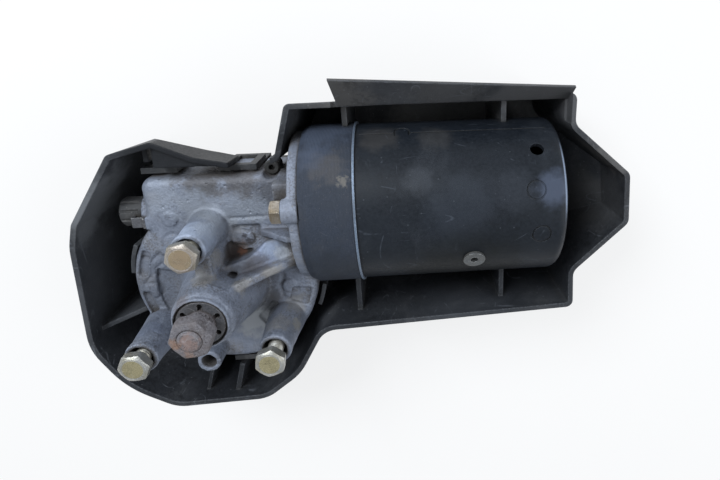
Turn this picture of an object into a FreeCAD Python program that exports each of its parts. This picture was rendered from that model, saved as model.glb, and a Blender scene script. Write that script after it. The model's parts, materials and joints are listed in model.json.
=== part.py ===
# Front wiper motor with worm gear unit, lying in its moulded splash cover.
# +Z is the output shaft, +X runs along the motor, the cover rests on Z = 0. Millimetres.
import FreeCAD
import Part
import math
import os

V = FreeCAD.Vector

# gear set: one-start worm, plastic wheel
module = 0.8
wheel_teeth = 60
wheel_pitch_r = module * wheel_teeth / 2
worm_pitch_r = 4.85
worm_pitch = math.pi * module
worm_root_r = worm_pitch_r - 1.25 * module
worm_tip_r = worm_pitch_r + module
worm_half = 10.0
tooth_thick = 1.02
wheel_thick = 8.0

# main axes and levels
motor_y = wheel_pitch_r + worm_pitch_r
motor_z = 36.5
cover_rim_z = 50.0
gear_cover_z = 18.0
gear_cover_t = 2.6
gasket_t = 0.4
case_z = gear_cover_z + gear_cover_t + gasket_t
case_top = 46.0
post_top = 69.0
boss_top = 77.0

# gear case
chamber_r = wheel_pitch_r + 3.5
case_r = chamber_r + 8.0
chamber_top = 42.5
tunnel_r = worm_tip_r + 0.95
seat_r = 7.0
tunnel_left = 10.0 - case_r
thrust_face = tunnel_left - 2.6
lock_face = tunnel_left - 0.7
thrust_ball_r = 2.45
thrust_ball_x = -22.95
tunnel_back = motor_y + 15.65
tunnel_top = 47.0
clip_bar = 2.6
clip_gap = 0.9
clip_t = 2.2
clip_leg = 1.3
clip_loop = 15.5
flange_x = 31.3
flange_t = 4.0
flange_r = 29.0
bolt_circle_r = 28.0
pattern_x = -2.7
pattern_y = -3.6
post_r = 6.05
post_foot_r = 7.7
post_bore_r = 4.45
post_wall = 5.6
m6_r = 3.0
m6_head = 10.0
head_gap = {"a": 3.2, "b": 2.8, "c": 5.4}
spigot = (-8.4, -29.2)
spigot_r = 4.6
spigot_bore_r = 2.9
spigot_top = 57.0
cable_x = 22.4
cable_y = 45.6
cable_boss_r = 3.0
cable_hole_r = 2.0
cable_top = 40.0
screw_angle = 76.7
m5_r = 2.5

# splash cover
wall = 2.0
floor = 2.0
draft_in = 3.2
bay_top_y = 71.3
bay_low_y = -20.7
bay_lean = 4.4
bowl_left = -case_r - 20.7
bowl_low = -case_r - 19.7
cradle_x = (51.3, 112.5)
cradle_t = 2.0
cradle_top = 40.0
mouth_top = 36.0

# motor
motor_face = flange_x + flange_t
plate_x0 = motor_face + 2.0
plate_x1 = plate_x0 + 2.0
seam_x = 54.6
seam_t = 0.8
can_r = 31.0
can_t = 2.0
band_r = can_r + 0.5
screw_ring_r = band_r - 4.0
magnet_t = 4.6
can_end = 132.3
can_corner = 3.6
eyelet = (can_end - 34.6, 120.8)
pole_gap = 0.5
core_r = can_r - can_t - magnet_t - pole_gap
core_x = (68.0, can_end - 20.3)
shaft_r = 4.0

# ends of the cover, round the can
shoulder_x = can_end + 5.7
nose_x = shoulder_x + 24.0

# output shaft
out_r = 5.0
m8_r = 4.0
taper_z = boss_top + 0.4
taper_top = taper_z + 3.2
nut_af = 13.0
nut_h = 6.5
nut_z = taper_top + 0.2
nut_top = nut_z + nut_h
out_top = nut_top + 0.8
hub_z = 30.0

# worm wheel and the contact ring under it
rib_sink = 0.8
ring_t = 0.4

# clearances
run_gap = 0.03
slack = 0.3


def cyl(r, z0, z1, x=0.0, y=0.0):
    return Part.makeCylinder(r, z1 - z0, V(x, y, z0))


def cone(r0, r1, z0, z1, x=0.0, y=0.0):
    return Part.makeCone(r0, r1, z1 - z0, V(x, y, z0))


def cyl_x(r, x0, x1, y=motor_y, z=motor_z):
    return Part.makeCylinder(r, x1 - x0, V(x0, y, z), V(1, 0, 0))


def box(x0, x1, y0, y1, z0, z1):
    return Part.makeBox(x1 - x0, y1 - y0, z1 - z0, V(x0, y0, z0))


def fused(first, *rest):
    return first.multiFuse(list(rest)).removeSplitter()


def turned_x(profile):
    # profile of (x, radius) corners, turned about the motor axis
    pts = [V(x, motor_y + r, motor_z) for x, r in profile]
    face = Part.Face(Part.makePolygon(pts + [pts[0]]))
    return face.revolve(V(0, motor_y, motor_z), V(1, 0, 0), 360)


def turned_z(profile, x=0.0, y=0.0):
    # profile of (radius, z) corners, turned about an upright axis
    pts = [V(x + r, y, z) for r, z in profile]
    face = Part.Face(Part.makePolygon(pts + [pts[0]]))
    return face.revolve(V(x, y, 0), V(0, 0, 1), 360)


def prism(points, z0, z1):
    pts = [V(x, y, z0) for x, y in points]
    return Part.Face(Part.makePolygon(pts + [pts[0]])).extrude(V(0, 0, z1 - z0))


def web(foot, crest):
    # a drafted web between two flat outlines with the same number of corners
    wires = []
    for ring in (foot, crest):
        pts = [V(*p) for p in ring]
        wires.append(Part.makePolygon(pts + [pts[0]]))
    return Part.makeLoft(wires, True, True)


def hexagon(across, z0, z1, x, y, turn=0.0, flat_r=None, under=False):
    rc = across / math.sqrt(3)
    pts = []
    for k in range(6):
        a = math.radians(60 * k + turn)
        pts.append((x + rc * math.cos(a), y + rc * math.sin(a)))
    body = prism(pts, z0, z1)
    cap_r = flat_r or 0.46 * across
    slope = math.tan(math.radians(30))
    drop = (rc - cap_r) * slope
    shape = [(0, z1), (cap_r, z1), (rc, z1 - drop), (rc, z0), (0, z0)]
    if under:
        shape = [(0, z1), (cap_r, z1), (rc, z1 - drop), (rc, z0 + drop), (cap_r, z0), (0, z0)]
    return body.common(turned_z(shape, x, y))


def about_motor(shape, angle):
    part = shape.copy()
    part.rotate(V(0, motor_y, motor_z), V(1, 0, 0), angle)
    return part


def rounded_wire(corners, z):
    n = len(corners)
    starts, mids, ends = [], [], []
    for i, (x, y, r) in enumerate(corners):
        p = V(x, y, z)
        u = (V(corners[i - 1][0], corners[i - 1][1], z) - p).normalize()
        w = (V(corners[(i + 1) % n][0], corners[(i + 1) % n][1], z) - p).normalize()
        half = u.getAngle(w) / 2
        reach = r / math.tan(half)
        starts.append(p + u * reach)
        ends.append(p + w * reach)
        centre = p + (u + w).normalize() * (r / math.sin(half))
        mids.append(centre + (p - centre).normalize() * r)
    edges = []
    for i in range(n):
        edges.append(Part.Arc(starts[i], mids[i], ends[i]).toShape())
        edges.append(Part.LineSegment(ends[i], starts[(i + 1) % n]).toShape())
    return Part.Wire(edges)


def inset(corners, d):
    # outline moved inwards by d, running anticlockwise
    n = len(corners)
    moved = []
    for i, (x, y, r) in enumerate(corners):
        p = V(x, y, 0)
        a = V(corners[i - 1][0], corners[i - 1][1], 0)
        b = V(corners[(i + 1) % n][0], corners[(i + 1) % n][1], 0)
        half = (a - p).getAngle(b - p) / 2
        side = 1 if (p - a).cross(b - p).z > 0 else -1
        m = ((a - p).normalize() + (b - p).normalize()).normalize()
        q = p + m * (side * d / math.sin(half))
        moved.append((q.x, q.y, max(r - side * d, 0.4)))
    return moved


def drafted(foot, d0, z0, top, d1, z1):
    low = rounded_wire(inset(foot, d0), z0)
    high = rounded_wire(inset(top, d1), z1)
    return Part.makeLoft([low, high], True, True)


# ---------------------------------------------------------------- splash cover
def cover_outline(lean=0.0):
    # rim corners with their radii, anticlockwise; lean draws the bay's near corner in lower down
    nose = [(nose_x + 0.6, 18.6, 4), (nose_x - 0.8, 39.3, 4)]
    bay = [(shoulder_x, 59.6, 5), (shoulder_x, bay_top_y + 0.3, 3), (31.7, bay_top_y - 0.4 - lean, 2.5)]
    pocket = [(25.9, 51.6, 2.5), (9.5, 50.2, 12), (-3.0, 52.8, 16), (-16.6, 58.9, 3), (-32.6, 54.8, 3)]
    bowl = [(bowl_left + 5.5, 29.0, 5), (bowl_left + 2.6, 19.7, 25), (bowl_left - 0.7, -25.0, 22)]
    bowl += [(bowl_left + 9.7, -44.3, 36), (-28.2, bowl_low - 0.5, 14), (9.8, bowl_low + 0.6, 14)]
    bowl += [(25.0, -43.2, 26)]
    low = [(36.6, bay_low_y - 2.2, 9), (shoulder_x + 3.7, bay_low_y + 2.1, 3)]
    low += [(shoulder_x + 2.9, -2.0, 5)]
    return nose + bay + pocket + bowl + low


def nose_ramp(lift):
    # everything under the sloping nose floor
    x0, x1 = shoulder_x + 2.0 - lift * 1.2, nose_x + 6.0
    z1 = 37.0 + lift * 1.6
    pts = [V(x0, -30, lift - 3), V(x1, -30, z1), V(x1 + 9, -30, z1), V(x1 + 9, -30, lift - 3)]
    return Part.Face(Part.makePolygon(pts + [pts[0]])).extrude(V(0, 120, 0))


def cable_mouth():
    # opening under the rim beside the gear case, where the leads pass out
    x0, x1 = 1.6, 24.2
    foot = [V(x, y, -0.5) for x, y in ((-37.5, 49.8), (-15.5, 43.6), (2, 39.6), (2, 90), (-37.5, 90))]
    slant = Part.Face(Part.makePolygon(foot + [foot[0]])).extrude(V(17.1, 10.8, cover_rim_z - 3.5))
    side = [V(x0, y, z) for y, z in ((39.8, -0.5), (90, -0.5), (90, mouth_top), (45, mouth_top))]
    gap = Part.Face(Part.makePolygon(side + [side[0]])).extrude(V(x1 - x0, 0, 0))
    return [slant, gap, box(9.0, x1, 45, 58, mouth_top - 4, cover_rim_z + 1)]


def flared_lip():
    # outward lip along the top of the motor bay, wide at the gear end
    rings = []
    for x, reach, skew in ((47.4, 7.9, 0.2), (137.2, 2.8, 0.0)):
        ring = [(-2.9, 43.6), (reach - 0.6, cover_rim_z + 0.6), (reach, cover_rim_z - 0.6), (-0.8, 41.8)]
        rings.append([(x + skew * (reach - out), bay_top_y + out, z) for out, z in ring])
    return web(*rings)


def arc_rib(r0, r1, a0, a1, z1):
    ring = cyl(r1, floor - 0.5, z1).cut(cyl(r0, 0, z1 + 1))
    pts = [(0, 0)]
    for a in (a0, (a0 + a1) / 2, a1):
        pts.append((90 * math.cos(math.radians(a)), 90 * math.sin(math.radians(a))))
    return ring.common(prism(pts, 0, z1 + 1))


def straight_rib(x0, y0, x1, y1, t, z1):
    d = V(x1 - x0, y1 - y0, 0)
    length = d.Length
    rib = Part.makeBox(length, t, z1 - floor + 0.5, V(0, -t / 2, floor - 0.5))
    rib.rotate(V(0, 0, 0), V(0, 0, 1), math.degrees(math.atan2(d.y, d.x)))
    rib.translate(V(x0, y0, 0))
    return rib


def protective_cover():
    rim, foot = cover_outline(), cover_outline(bay_lean)
    lifted = 1 - floor / cover_rim_z
    outer = drafted(foot, draft_in, 0, rim, 0, cover_rim_z).cut(nose_ramp(0))
    inner = drafted(cover_outline(bay_lean * lifted), wall + draft_in * lifted, floor,
                    rim, wall, cover_rim_z)
    tray = outer.cut(inner.cut(nose_ramp(floor)))
    tray = tray.cut(box(47.9, shoulder_x - 1.6, 60, 80, 43.4, cover_rim_z + 1))
    parts = [flared_lip()]
    for x, r in zip(cradle_x, (band_r, can_r)):
        rib = box(x - cradle_t / 2, x + cradle_t / 2, -40, 90, floor - 0.5, cradle_top)
        parts.append(rib.common(outer).cut(cyl_x(r, x - 5, x + 5)))
    ribs = [straight_rib(-56.5, -20.3, -34.6, -11.2, 1.8, 43)]
    ribs += [straight_rib(-0.1, -39.6, -4.5, -55, 2.0, 45), straight_rib(-13.2, -41, -18, -56, 1.4, 43)]
    ribs += [straight_rib(-21.5, 50.6, -21.5, 60, 1.8, 45)]
    parts += [rib.common(outer) for rib in ribs]
    parts += [arc_rib(case_r + 1.5, case_r + 3.1, a0, a1, 41) for a0, a1 in ((155, 174), (-24, -9))]
    for a in (100, 215, 330):
        x, y = 24 * math.cos(math.radians(a)), 24 * math.sin(math.radians(a))
        parts.append(cone(5.0, 3.6, floor - 0.5, gear_cover_z, x, y))
    shelf = prism([(-17.4, 58.5), (-17.9, 48.9), (3.5, 48.9), (8.5, 51.0), (-3, 53.6)], 46.2, 48.2)
    body = fused(tray, *parts).cut(cable_mouth())
    return body.fuse(shelf.common(outer)).removeSplitter()


# ---------------------------------------------------------------- gear case
def posts():
    where = {}
    for name, a in (("a", 90), ("b", 210), ("c", 330)):
        x = pattern_x + bolt_circle_r * math.cos(math.radians(a))
        y = pattern_y + bolt_circle_r * math.sin(math.radians(a))
        where[name] = (x, y)
    return where


def case_body():
    disc = cyl(case_r, case_z, case_top)
    disc = disc.makeFillet(2.5, [e for e in disc.Edges if abs(e.BoundBox.ZMin - case_top) < 0.01
                                 and e.BoundBox.ZLength < 0.01])
    tunnel = box(tunnel_left, flange_x + 1, 14.0, tunnel_back, case_z, tunnel_top)
    uprights = [e for e in tunnel.Edges if e.BoundBox.ZLength > 5 and e.BoundBox.XMax < 0]
    tunnel = tunnel.makeFillet(4.5, [e for e in uprights if e.BoundBox.YMin > 40])
    rims = [e for e in tunnel.Edges if e.BoundBox.ZMin > tunnel_top - 0.01
            and (e.BoundBox.YMin > 39 or e.BoundBox.XMax < 0)]
    tunnel = tunnel.makeFillet(3.5, rims)
    return disc.fuse(tunnel)


def shallow_pockets():
    # sunk fields between the ribs of the top skin
    cuts = []
    fields = ((18.5, 27.0, 163, 204), (30.2, 33.6, 152, 172), (30.2, 33.6, 184, 203))
    fields += ((19.0, 27.5, 302, 330), (25.5, 33.0, 338, 352))
    for r0, r1, a0, a1 in fields:
        ring = cyl(r1, case_top - 1.4, case_top + 1).cut(cyl(r0, case_top - 2, case_top + 2))
        pts = [(0, 0)]
        for a in (a0, (a0 + a1) / 2, a1):
            pts.append((60 * math.cos(math.radians(a)), 60 * math.sin(math.radians(a))))
        cuts.append(ring.common(prism(pts, case_top - 3, case_top + 3)))
    return cuts


def clip_places():
    # middle, seat, outward side and top of each snap clip
    return ((3.0, -case_r, -1, 43.5), (-18.9, tunnel_back, 1, 42.5), (9.8, tunnel_back, 1, 42.5))


def floor_z(x, y):
    # height of the raised floor between the first two webs
    return boss_top - 17.4 - 0.22 * x - 0.25 * y


def gear_housing():
    solid = [case_body()]
    holes = []
    foot = case_top - 1.0
    for name, (x, y) in posts().items():
        if name == "a":
            solid.append(cyl(post_foot_r, foot - 6, foot, x, y))
        else:
            solid.append(cyl(post_foot_r, case_z, foot, x, y))
        solid.append(cone(post_foot_r, post_r, foot, post_top - post_wall, x, y))
        solid.append(cyl(post_r, post_top - post_wall, post_top, x, y))
        holes.append(cyl(post_bore_r, post_top - 8, post_top + 1, x, y))
        holes.append(cyl(m6_r, case_top + 1.5, post_top, x, y))
    # shaft boss with its waist and rim
    boss = [(0, foot), (17.0, foot), (13.6, boss_top - 19), (11.6, boss_top - 8), (11.0, boss_top - 3.5)]
    boss += [(10.6, boss_top - 2.4), (9.9, boss_top - 1.8)]
    boss += [(9.9, boss_top - 0.3), (9.6, boss_top), (0, boss_top)]
    solid.append(turned_z(boss))
    # webs: boss to post a, boss to motor flange, boss to post c
    high, low = boss_top - 11, case_top + 6.4
    solid.append(web([(-6, 6, foot), (4.5, 6, foot), (3.6, 20, foot), (-6, 20, foot)],
                     [(-3.2, 8, high), (2.6, 8, high), (1.6, 19.5, post_top - 6),
                      (-4.4, 19.5, post_top - 6)]))
    solid.append(web([(6, 0, foot), (flange_x + 1, 5, foot), (flange_x + 1, 19, foot), (6, 13, foot)],
                     [(7, 4.6, high + 1.3), (flange_x + 1, 11.0, low), (flange_x + 1, 13.8, low),
                      (7, 7.6, high + 1.3)]))
    solid.append(web([(1, -12, foot), (13, 0, foot), (28, -13, foot), (17, -25, foot)],
                     [(5, -8, high - 4), (8.5, -4.5, high - 4), (24.0, -14, post_top - 12),
                      (18.5, -20, post_top - 12)]))
    # raised floor that falls away between the first two webs
    edge = [(2, 6), (2.4, 11), (7.5, 12.1), (11.8, 13.4), (15.0, 15.4), (18.6, 18.6), (24, 19.6),
            (flange_x + 1, 19.6), (flange_x + 1, 11.6), (8, 5)]
    solid.append(web([(x, y, foot) for x, y in edge], [(x, y, floor_z(x, y)) for x, y in edge]))
    # the shaft boss stands clear of it
    edge = [(2.7, 6.4), (2.7, 11.2), (7.5, 12.3), (11.8, 13.6), (15.0, 15.6), (18.6, 18.8), (24, 19.8),
            (flange_x - 0.5, 19.8), (flange_x - 0.5, 13.2), (7, 7.9)]
    clear = web([(x, y, floor_z(x, y)) for x, y in edge], [(x, y, boss_top - 8) for x, y in edge])
    holes.append(clear.cut(cyl(10.9, foot, boss_top)))
    # drain spigot, clip lugs and the cable boss
    solid.append(cyl(spigot_r, case_top - 8, spigot_top, *spigot))
    solid.append(cone(spigot_r + 1.2, spigot_r, case_top - 2, case_top + 2, *spigot))
    holes.append(cyl(spigot_bore_r, chamber_top - 5, spigot_top + 1, *spigot))
    for x, y, out, top in clip_places():
        z1 = top - clip_bar - slack
        lug = [[(x - 2.6, y - out, z), (x + 2.6, y - out, z), (x + 2.6, y + out * reach, z),
                (x - 2.6, y + out * reach, z)] for z, reach in ((z1 - 5.5, 0.1), (z1, 2.2))]
        solid.append(web(*lug))
    solid.append(cyl(cable_boss_r, cable_top - 6, cable_top, cable_x, cable_y))
    holes.append(cyl(cable_hole_r, cable_top - 7, cable_top + 1, cable_x, cable_y))
    holes.append(cyl(cable_boss_r + slack, cable_top, tunnel_top + 1, cable_x, cable_y))
    # motor flange with two screw ears and its gussets
    solid.append(cyl_x(flange_r, flange_x, motor_face))
    for a in (screw_angle, screw_angle + 180):
        y = motor_y + screw_ring_r * math.cos(math.radians(a))
        z = motor_z + screw_ring_r * math.sin(math.radians(a))
        solid.append(cyl_x(4.6, 29.4, motor_face, y, z))
        holes.append(cyl_x(m5_r + 0.25, 29, motor_face + 1, y, z))
    solid.append(box(25.2, flange_x + 1, 37.5, 43.5, tunnel_top - 3, 57.5))
    solid.append(web([(14, 20, tunnel_top - 1), (flange_x + 1, 20, tunnel_top - 1),
                      (flange_x + 1, 23, tunnel_top - 1), (14, 23, tunnel_top - 1)],
                     [(28, 20.4, 57), (flange_x + 1, 20.4, 57), (flange_x + 1, 22.6, 57),
                      (28, 22.6, 57)]))
    # thrust end of the worm tunnel
    solid.append(cyl_x(7.6, thrust_face, tunnel_left + 1))
    solid.append(box(lock_face, tunnel_left + 6, 24.4, 29.4, 40, tunnel_top - 0.4))
    # ejector pads
    for x, y, z in ((-16.6, 28.4, tunnel_top), (-29.2, -2.0, case_top), (24.4, -3.0, case_top)):
        solid.append(cyl(3.5, z - 2, z + 0.35, x, y))
    body = fused(solid[0], *solid[1:])
    holes += shallow_pockets()
    holes.append(cyl(chamber_r, case_z - 1, chamber_top))
    holes.append(cyl_x(tunnel_r, -16, 23.6))
    holes.append(cyl_x(seat_r, -24, -15.9))
    holes.append(cyl_x(seat_r, 23.5, motor_face + 1))
    holes.append(cyl_x(5.0, -30, -23.9))
    holes.append(cyl(seat_r, chamber_top - 1, boss_top - 1.9))
    holes.append(cyl(9.0, boss_top - 2.0, boss_top + 1))
    holes.append(box(motor_face, motor_face + 8, -40, 70, 0, 80))
    # sunk field round the pad, slot in the raised floor, parting groove of the tunnel roof
    holes.append(prism([(5.6, 14.5), (12.5, 16.0), (16.5, 18.6), (16.5, 24.6), (5.8, 24.6)],
                       case_top - 0.6, 49))
    holes.append(prism([(4.5, 7.9), (7.7, 7.0), (8.1, 8.5), (4.9, 9.4)], case_top + 4, boss_top - 18))
    holes.append(box(4.6, 21.0, 26.9, 27.3, tunnel_top - 0.5, tunnel_top + 1))
    body = body.cut(holes[0].multiFuse(holes[1:]))
    # round pad and the deep pocket between it, the first web and the raised floor
    body = body.fuse(cyl(4.8, chamber_top + 0.2, case_top + 0.4, 9.4, 18.6))
    body = body.cut(prism([(2.9, 11.2), (7.5, 12.2), (11.8, 13.5), (13.8, 14.9), (9.2, 14.4), (6.4, 15.4),
                           (4.6, 18.2), (2.9, 17.4)], case_top - 0.6, boss_top))
    return body.removeSplitter()


def flange_room():
    band = cyl_x(band_r + slack, motor_face - slack, seam_x)
    return band.fuse(cyl_x(flange_r + slack, flange_x - slack, seam_x))


def gear_cover():
    rim = [(tunnel_left, 14), (tunnel_left, tunnel_back), (30.5, tunnel_back), (30.5, 14)]
    z0, z1 = gear_cover_z, gear_cover_z + gear_cover_t
    plate = fused(cyl(case_r, z0, z1), prism(rim, z0, z1))
    plate = plate.cut(flange_room())
    parts = []
    for (x, seat, out, top), half in zip(clip_places(), (6.2, 6.5, 7.2)):
        near, far = seat + out * clip_gap, seat + out * (clip_gap + clip_t)
        y0, y1 = min(near, far), max(near, far)
        root, thin = seat + out * slack, seat + out * clip_leg
        x0, x1 = x - half, x + half
        parts.append(box(x0, x1, y0, y1, top - clip_bar, top))
        parts.append(box(x0, x1, min(seat - out * 2.0, thin), max(seat - out * 2.0, thin), z0, z1))
        for side in (x0, x1 - clip_bar):
            parts.append(box(side, side + clip_bar, y0, y1, top - clip_loop, top))
            parts.append(box(side, side + clip_bar, min(root, thin), max(root, thin), z0,
                             top - clip_loop + 2))
    # stiffening ring and the boss under the shaft end
    parts.append(cyl(12, z0 - 1.4, z0 + 0.5).cut(cyl(10, z0 - 2, z0 + 1)))
    return fused(plate, *parts)


def cover_gasket():
    z0 = gear_cover_z + gear_cover_t
    rim = [(tunnel_left + 1, 16), (tunnel_left + 1, tunnel_back - 1), (30, tunnel_back - 1), (30, 16)]
    hole = [(tunnel_left + 3, 18), (tunnel_left + 3, tunnel_back - 3), (28, tunnel_back - 3), (28, 18)]
    ring = fused(cyl(case_r - 1, z0, case_z), prism(rim, z0, case_z))
    inner = fused(cyl(case_r - 3.4, z0 - 1, case_z + 1), prism(hole, z0 - 1, case_z + 1))
    return ring.cut(inner).cut(flange_room())


def mounting_bolts():
    bolts = []
    for name, turn in (("a", 12), ("b", 4), ("c", 20)):
        x, y = posts()[name]
        seat = post_top + head_gap[name]
        head = hexagon(m6_head, seat, seat + 4.0, x, y, turn, 4.55)
        length = 20.0
        shank = turned_z([(0, seat + 0.5), (m6_r, seat + 0.5), (m6_r, seat - length + 1),
                          (m6_r - 0.9, seat - length), (0, seat - length)], x, y)
        bolts.append(head.fuse(shank).removeSplitter())
    return Part.makeCompound(bolts)


def flange_screws():
    screws = []
    for a in (screw_angle, screw_angle + 180):
        head = hexagon(8.0, 0, 3.8, 0, 0, 15)
        head = head.cut(cyl(1.6, 2.2, 5))
        shank = cyl(m5_r, -14.5, 0.2)
        screw = head.fuse(shank).removeSplitter()
        screw.rotate(V(0, 0, 0), V(0, 1, 0), -90)
        y = motor_y + screw_ring_r * math.cos(math.radians(a))
        z = motor_z + screw_ring_r * math.sin(math.radians(a))
        screw.translate(V(29.4, y, z))
        screws.append(screw)
    return Part.makeCompound(screws)


def thrust_adjuster():
    tip = thrust_face + 3.6
    knob = turned_x([(tip, 0), (tip, 4.9), (thrust_face, 4.9), (thrust_face, 5.3),
                     (thrust_face - 0.5, 5.75), (-36.7, 5.75), (-37.5, 5.0), (-37.5, 0)])
    knob = knob.cut(cyl_x(thrust_ball_r, thrust_ball_x - thrust_ball_r, tip + 1))
    knob = knob.cut(box(-38, -36.3, motor_y - 6, motor_y + 6, motor_z - 0.8, motor_z + 0.8))
    for k in range(10):
        knob = knob.cut(about_motor(cyl_x(0.7, -38, -30.0, motor_y, motor_z + 6.0), 36 * k + 18))
    return knob


def adjuster_lock():
    y0, y1 = 24.9, 28.9
    strap = box(-31.6, lock_face, y0, y1, 44.3, 45.1)
    tooth = box(-31.6, -30.8, y0, y1, 42.3, 44.6)
    foot = box(lock_face - 0.8, lock_face, y0, y1, 44.3, 46.4)
    return fused(strap, tooth, foot)


def cable_grommet():
    z = cable_top
    bore = cable_hole_r - 0.8
    return turned_z([(bore, z - 5), (cable_hole_r, z - 5), (cable_hole_r, z), (2.9, z), (2.9, z + 1),
                     (2.4, z + 1.6), (bore, z + 1.6)], cable_x, cable_y)


# ---------------------------------------------------------------- gear train
def worm_thread():
    turns = 2 * worm_half
    half_root = (tooth_thick / 2 + (worm_pitch_r - worm_root_r + 0.2) * math.tan(math.radians(20)))
    half_tip = tooth_thick / 2 - (worm_tip_r - worm_pitch_r) * math.tan(math.radians(20))
    pts = [V(worm_root_r - 0.2, 0, -half_root), V(worm_tip_r, 0, -half_tip),
           V(worm_tip_r, 0, half_tip), V(worm_root_r - 0.2, 0, half_root)]
    spine = Part.makeHelix(worm_pitch, turns, worm_root_r)
    tool = Part.BRepOffsetAPI.MakePipeShell(Part.Wire(spine.Edges))
    tool.setFrenetMode(True)
    tool.add(Part.makePolygon(pts + [pts[0]]))
    tool.build()
    tool.makeSolid()
    return tool.shape()


def armature_shaft():
    profile = [(-20.4, 0), (-20.4, 3.4), (-19.8, shaft_r), (-worm_half - 3, shaft_r)]
    profile += [(-worm_half - 2.4, worm_root_r), (worm_half + 2.4, worm_root_r)]
    profile += [(worm_half + 3, shaft_r), (can_end + 0.9, shaft_r), (can_end + 1.5, 3.4), (can_end + 1.5, 0)]
    shaft = turned_x(profile)
    thread = worm_thread()
    # thread axis from Z to X, with a crest facing the wheel at the middle of the mesh
    thread.translate(V(0, 0, -worm_half))
    thread.rotate(V(0, 0, 0), V(0, 1, 0), 90)
    thread.translate(V(0, motor_y, motor_z))
    return shaft.fuse(about_motor(thread, mesh_turn()))


def mesh_turn():
    # the helix starts on the -Z side of the axis; whole turns either side of the middle
    return -360 * (worm_half / worm_pitch) - 90


def worm_wheel():
    root = wheel_pitch_r - 1.25 * module
    tip = wheel_pitch_r + module
    pts = []
    for k in range(wheel_teeth):
        mid = 90 + 360 / wheel_teeth * (k + 0.5)
        for r, side in ((root, -1), (tip, -1), (tip, 1), (root, 1)):
            half = tooth_thick / 2 - (r - wheel_pitch_r) * math.tan(math.radians(20))
            a = math.radians(mid) + side * half / r
            pts.append((r * math.cos(a), r * math.sin(a)))
    z0, z1 = motor_z - wheel_thick / 2, motor_z + wheel_thick / 2
    rim = prism(pts, z0, z1).cut(cyl(root - 2.5, z0 - 1, z1 + 1))
    disc = cyl(root - 2.0, motor_z - 1.5, motor_z + 1.5)
    hub = cyl(9.0, hub_z, chamber_top - 0.9)
    ribs = []
    for k in range(8):
        rib = box(7, root - 2.0, -0.8, 0.8, z0 + rib_sink, z1 - rib_sink)
        rib.rotate(V(0, 0, 0), V(0, 0, 1), 45 * k)
        ribs.append(rib)
    return fused(rim, disc, hub, *ribs).cut(cyl(out_r, 20, 50))


def park_disc():
    top = motor_z - wheel_thick / 2 + rib_sink
    return cyl(17.5, top - ring_t, top).cut(cyl(11, top - 1, top + 1))


def output_shaft():
    profile = [(0, 26.4), (7.6, 26.4), (8.0, 26.8), (8.0, hub_z), (out_r, hub_z), (out_r, taper_z)]
    profile += [(out_r - 0.25, taper_top), (m8_r, taper_top + 0.1), (m8_r, out_top - 0.7)]
    profile += [(m8_r - 0.7, out_top), (0, out_top)]
    shaft = turned_z(profile)
    cuts = []
    for k in range(20):
        cut = box(out_r - 0.28, out_r + 1, -0.28, 0.28, taper_z + 0.2, taper_top + 0.2)
        cut.rotate(V(0, 0, 0), V(0, 0, 1), 18 * k)
        cuts.append(cut)
    return shaft.cut(cuts[0].multiFuse(cuts[1:]))


def star_washer():
    z = boss_top - 1.7
    washer = turned_z([(out_r, z + 0.2), (8.6, z), (8.6, z + 0.8), (8.2, z + 1.2), (out_r, z + 1.2)])
    cuts = []
    for k in range(6):
        cut = fused(box(4, 6.7, -0.75, 0.75, z - 1, z + 2), cyl(0.95, z - 1, z + 2, 6.7, 0))
        cut.rotate(V(0, 0, 0), V(0, 0, 1), 60 * k + 25)
        cuts.append(cut)
    return washer.cut(cuts[0].multiFuse(cuts[1:]))


def output_nut():
    nut = hexagon(nut_af, nut_z, nut_top, 0, 0, 8, 6.1, True)
    return nut.cut(cyl(m8_r, nut_z - 1, nut_top + 1))


# ---------------------------------------------------------------- motor
def brush_housing():
    cup = turned_x([(motor_face, 12), (motor_face, band_r - 1.3), (motor_face + 2.6, band_r),
                    (seam_x, band_r), (seam_x, band_r - 2), (motor_face + 2, band_r - 2),
                    (motor_face + 2, 12)])
    parts, holes = [], []
    for a in (screw_angle, screw_angle + 180):
        y = motor_y + screw_ring_r * math.cos(math.radians(a))
        z = motor_z + screw_ring_r * math.sin(math.radians(a))
        parts.append(cyl_x(4.2, motor_face + 0.5, motor_face + 10, y, z).common(
            cyl_x(band_r - 0.5, motor_face, seam_x)))
        holes.append(cyl_x(m5_r, motor_face - 1, motor_face + 9, y, z))
    return fused(cup, *parts).cut(holes[0].fuse(holes[1]))


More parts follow.
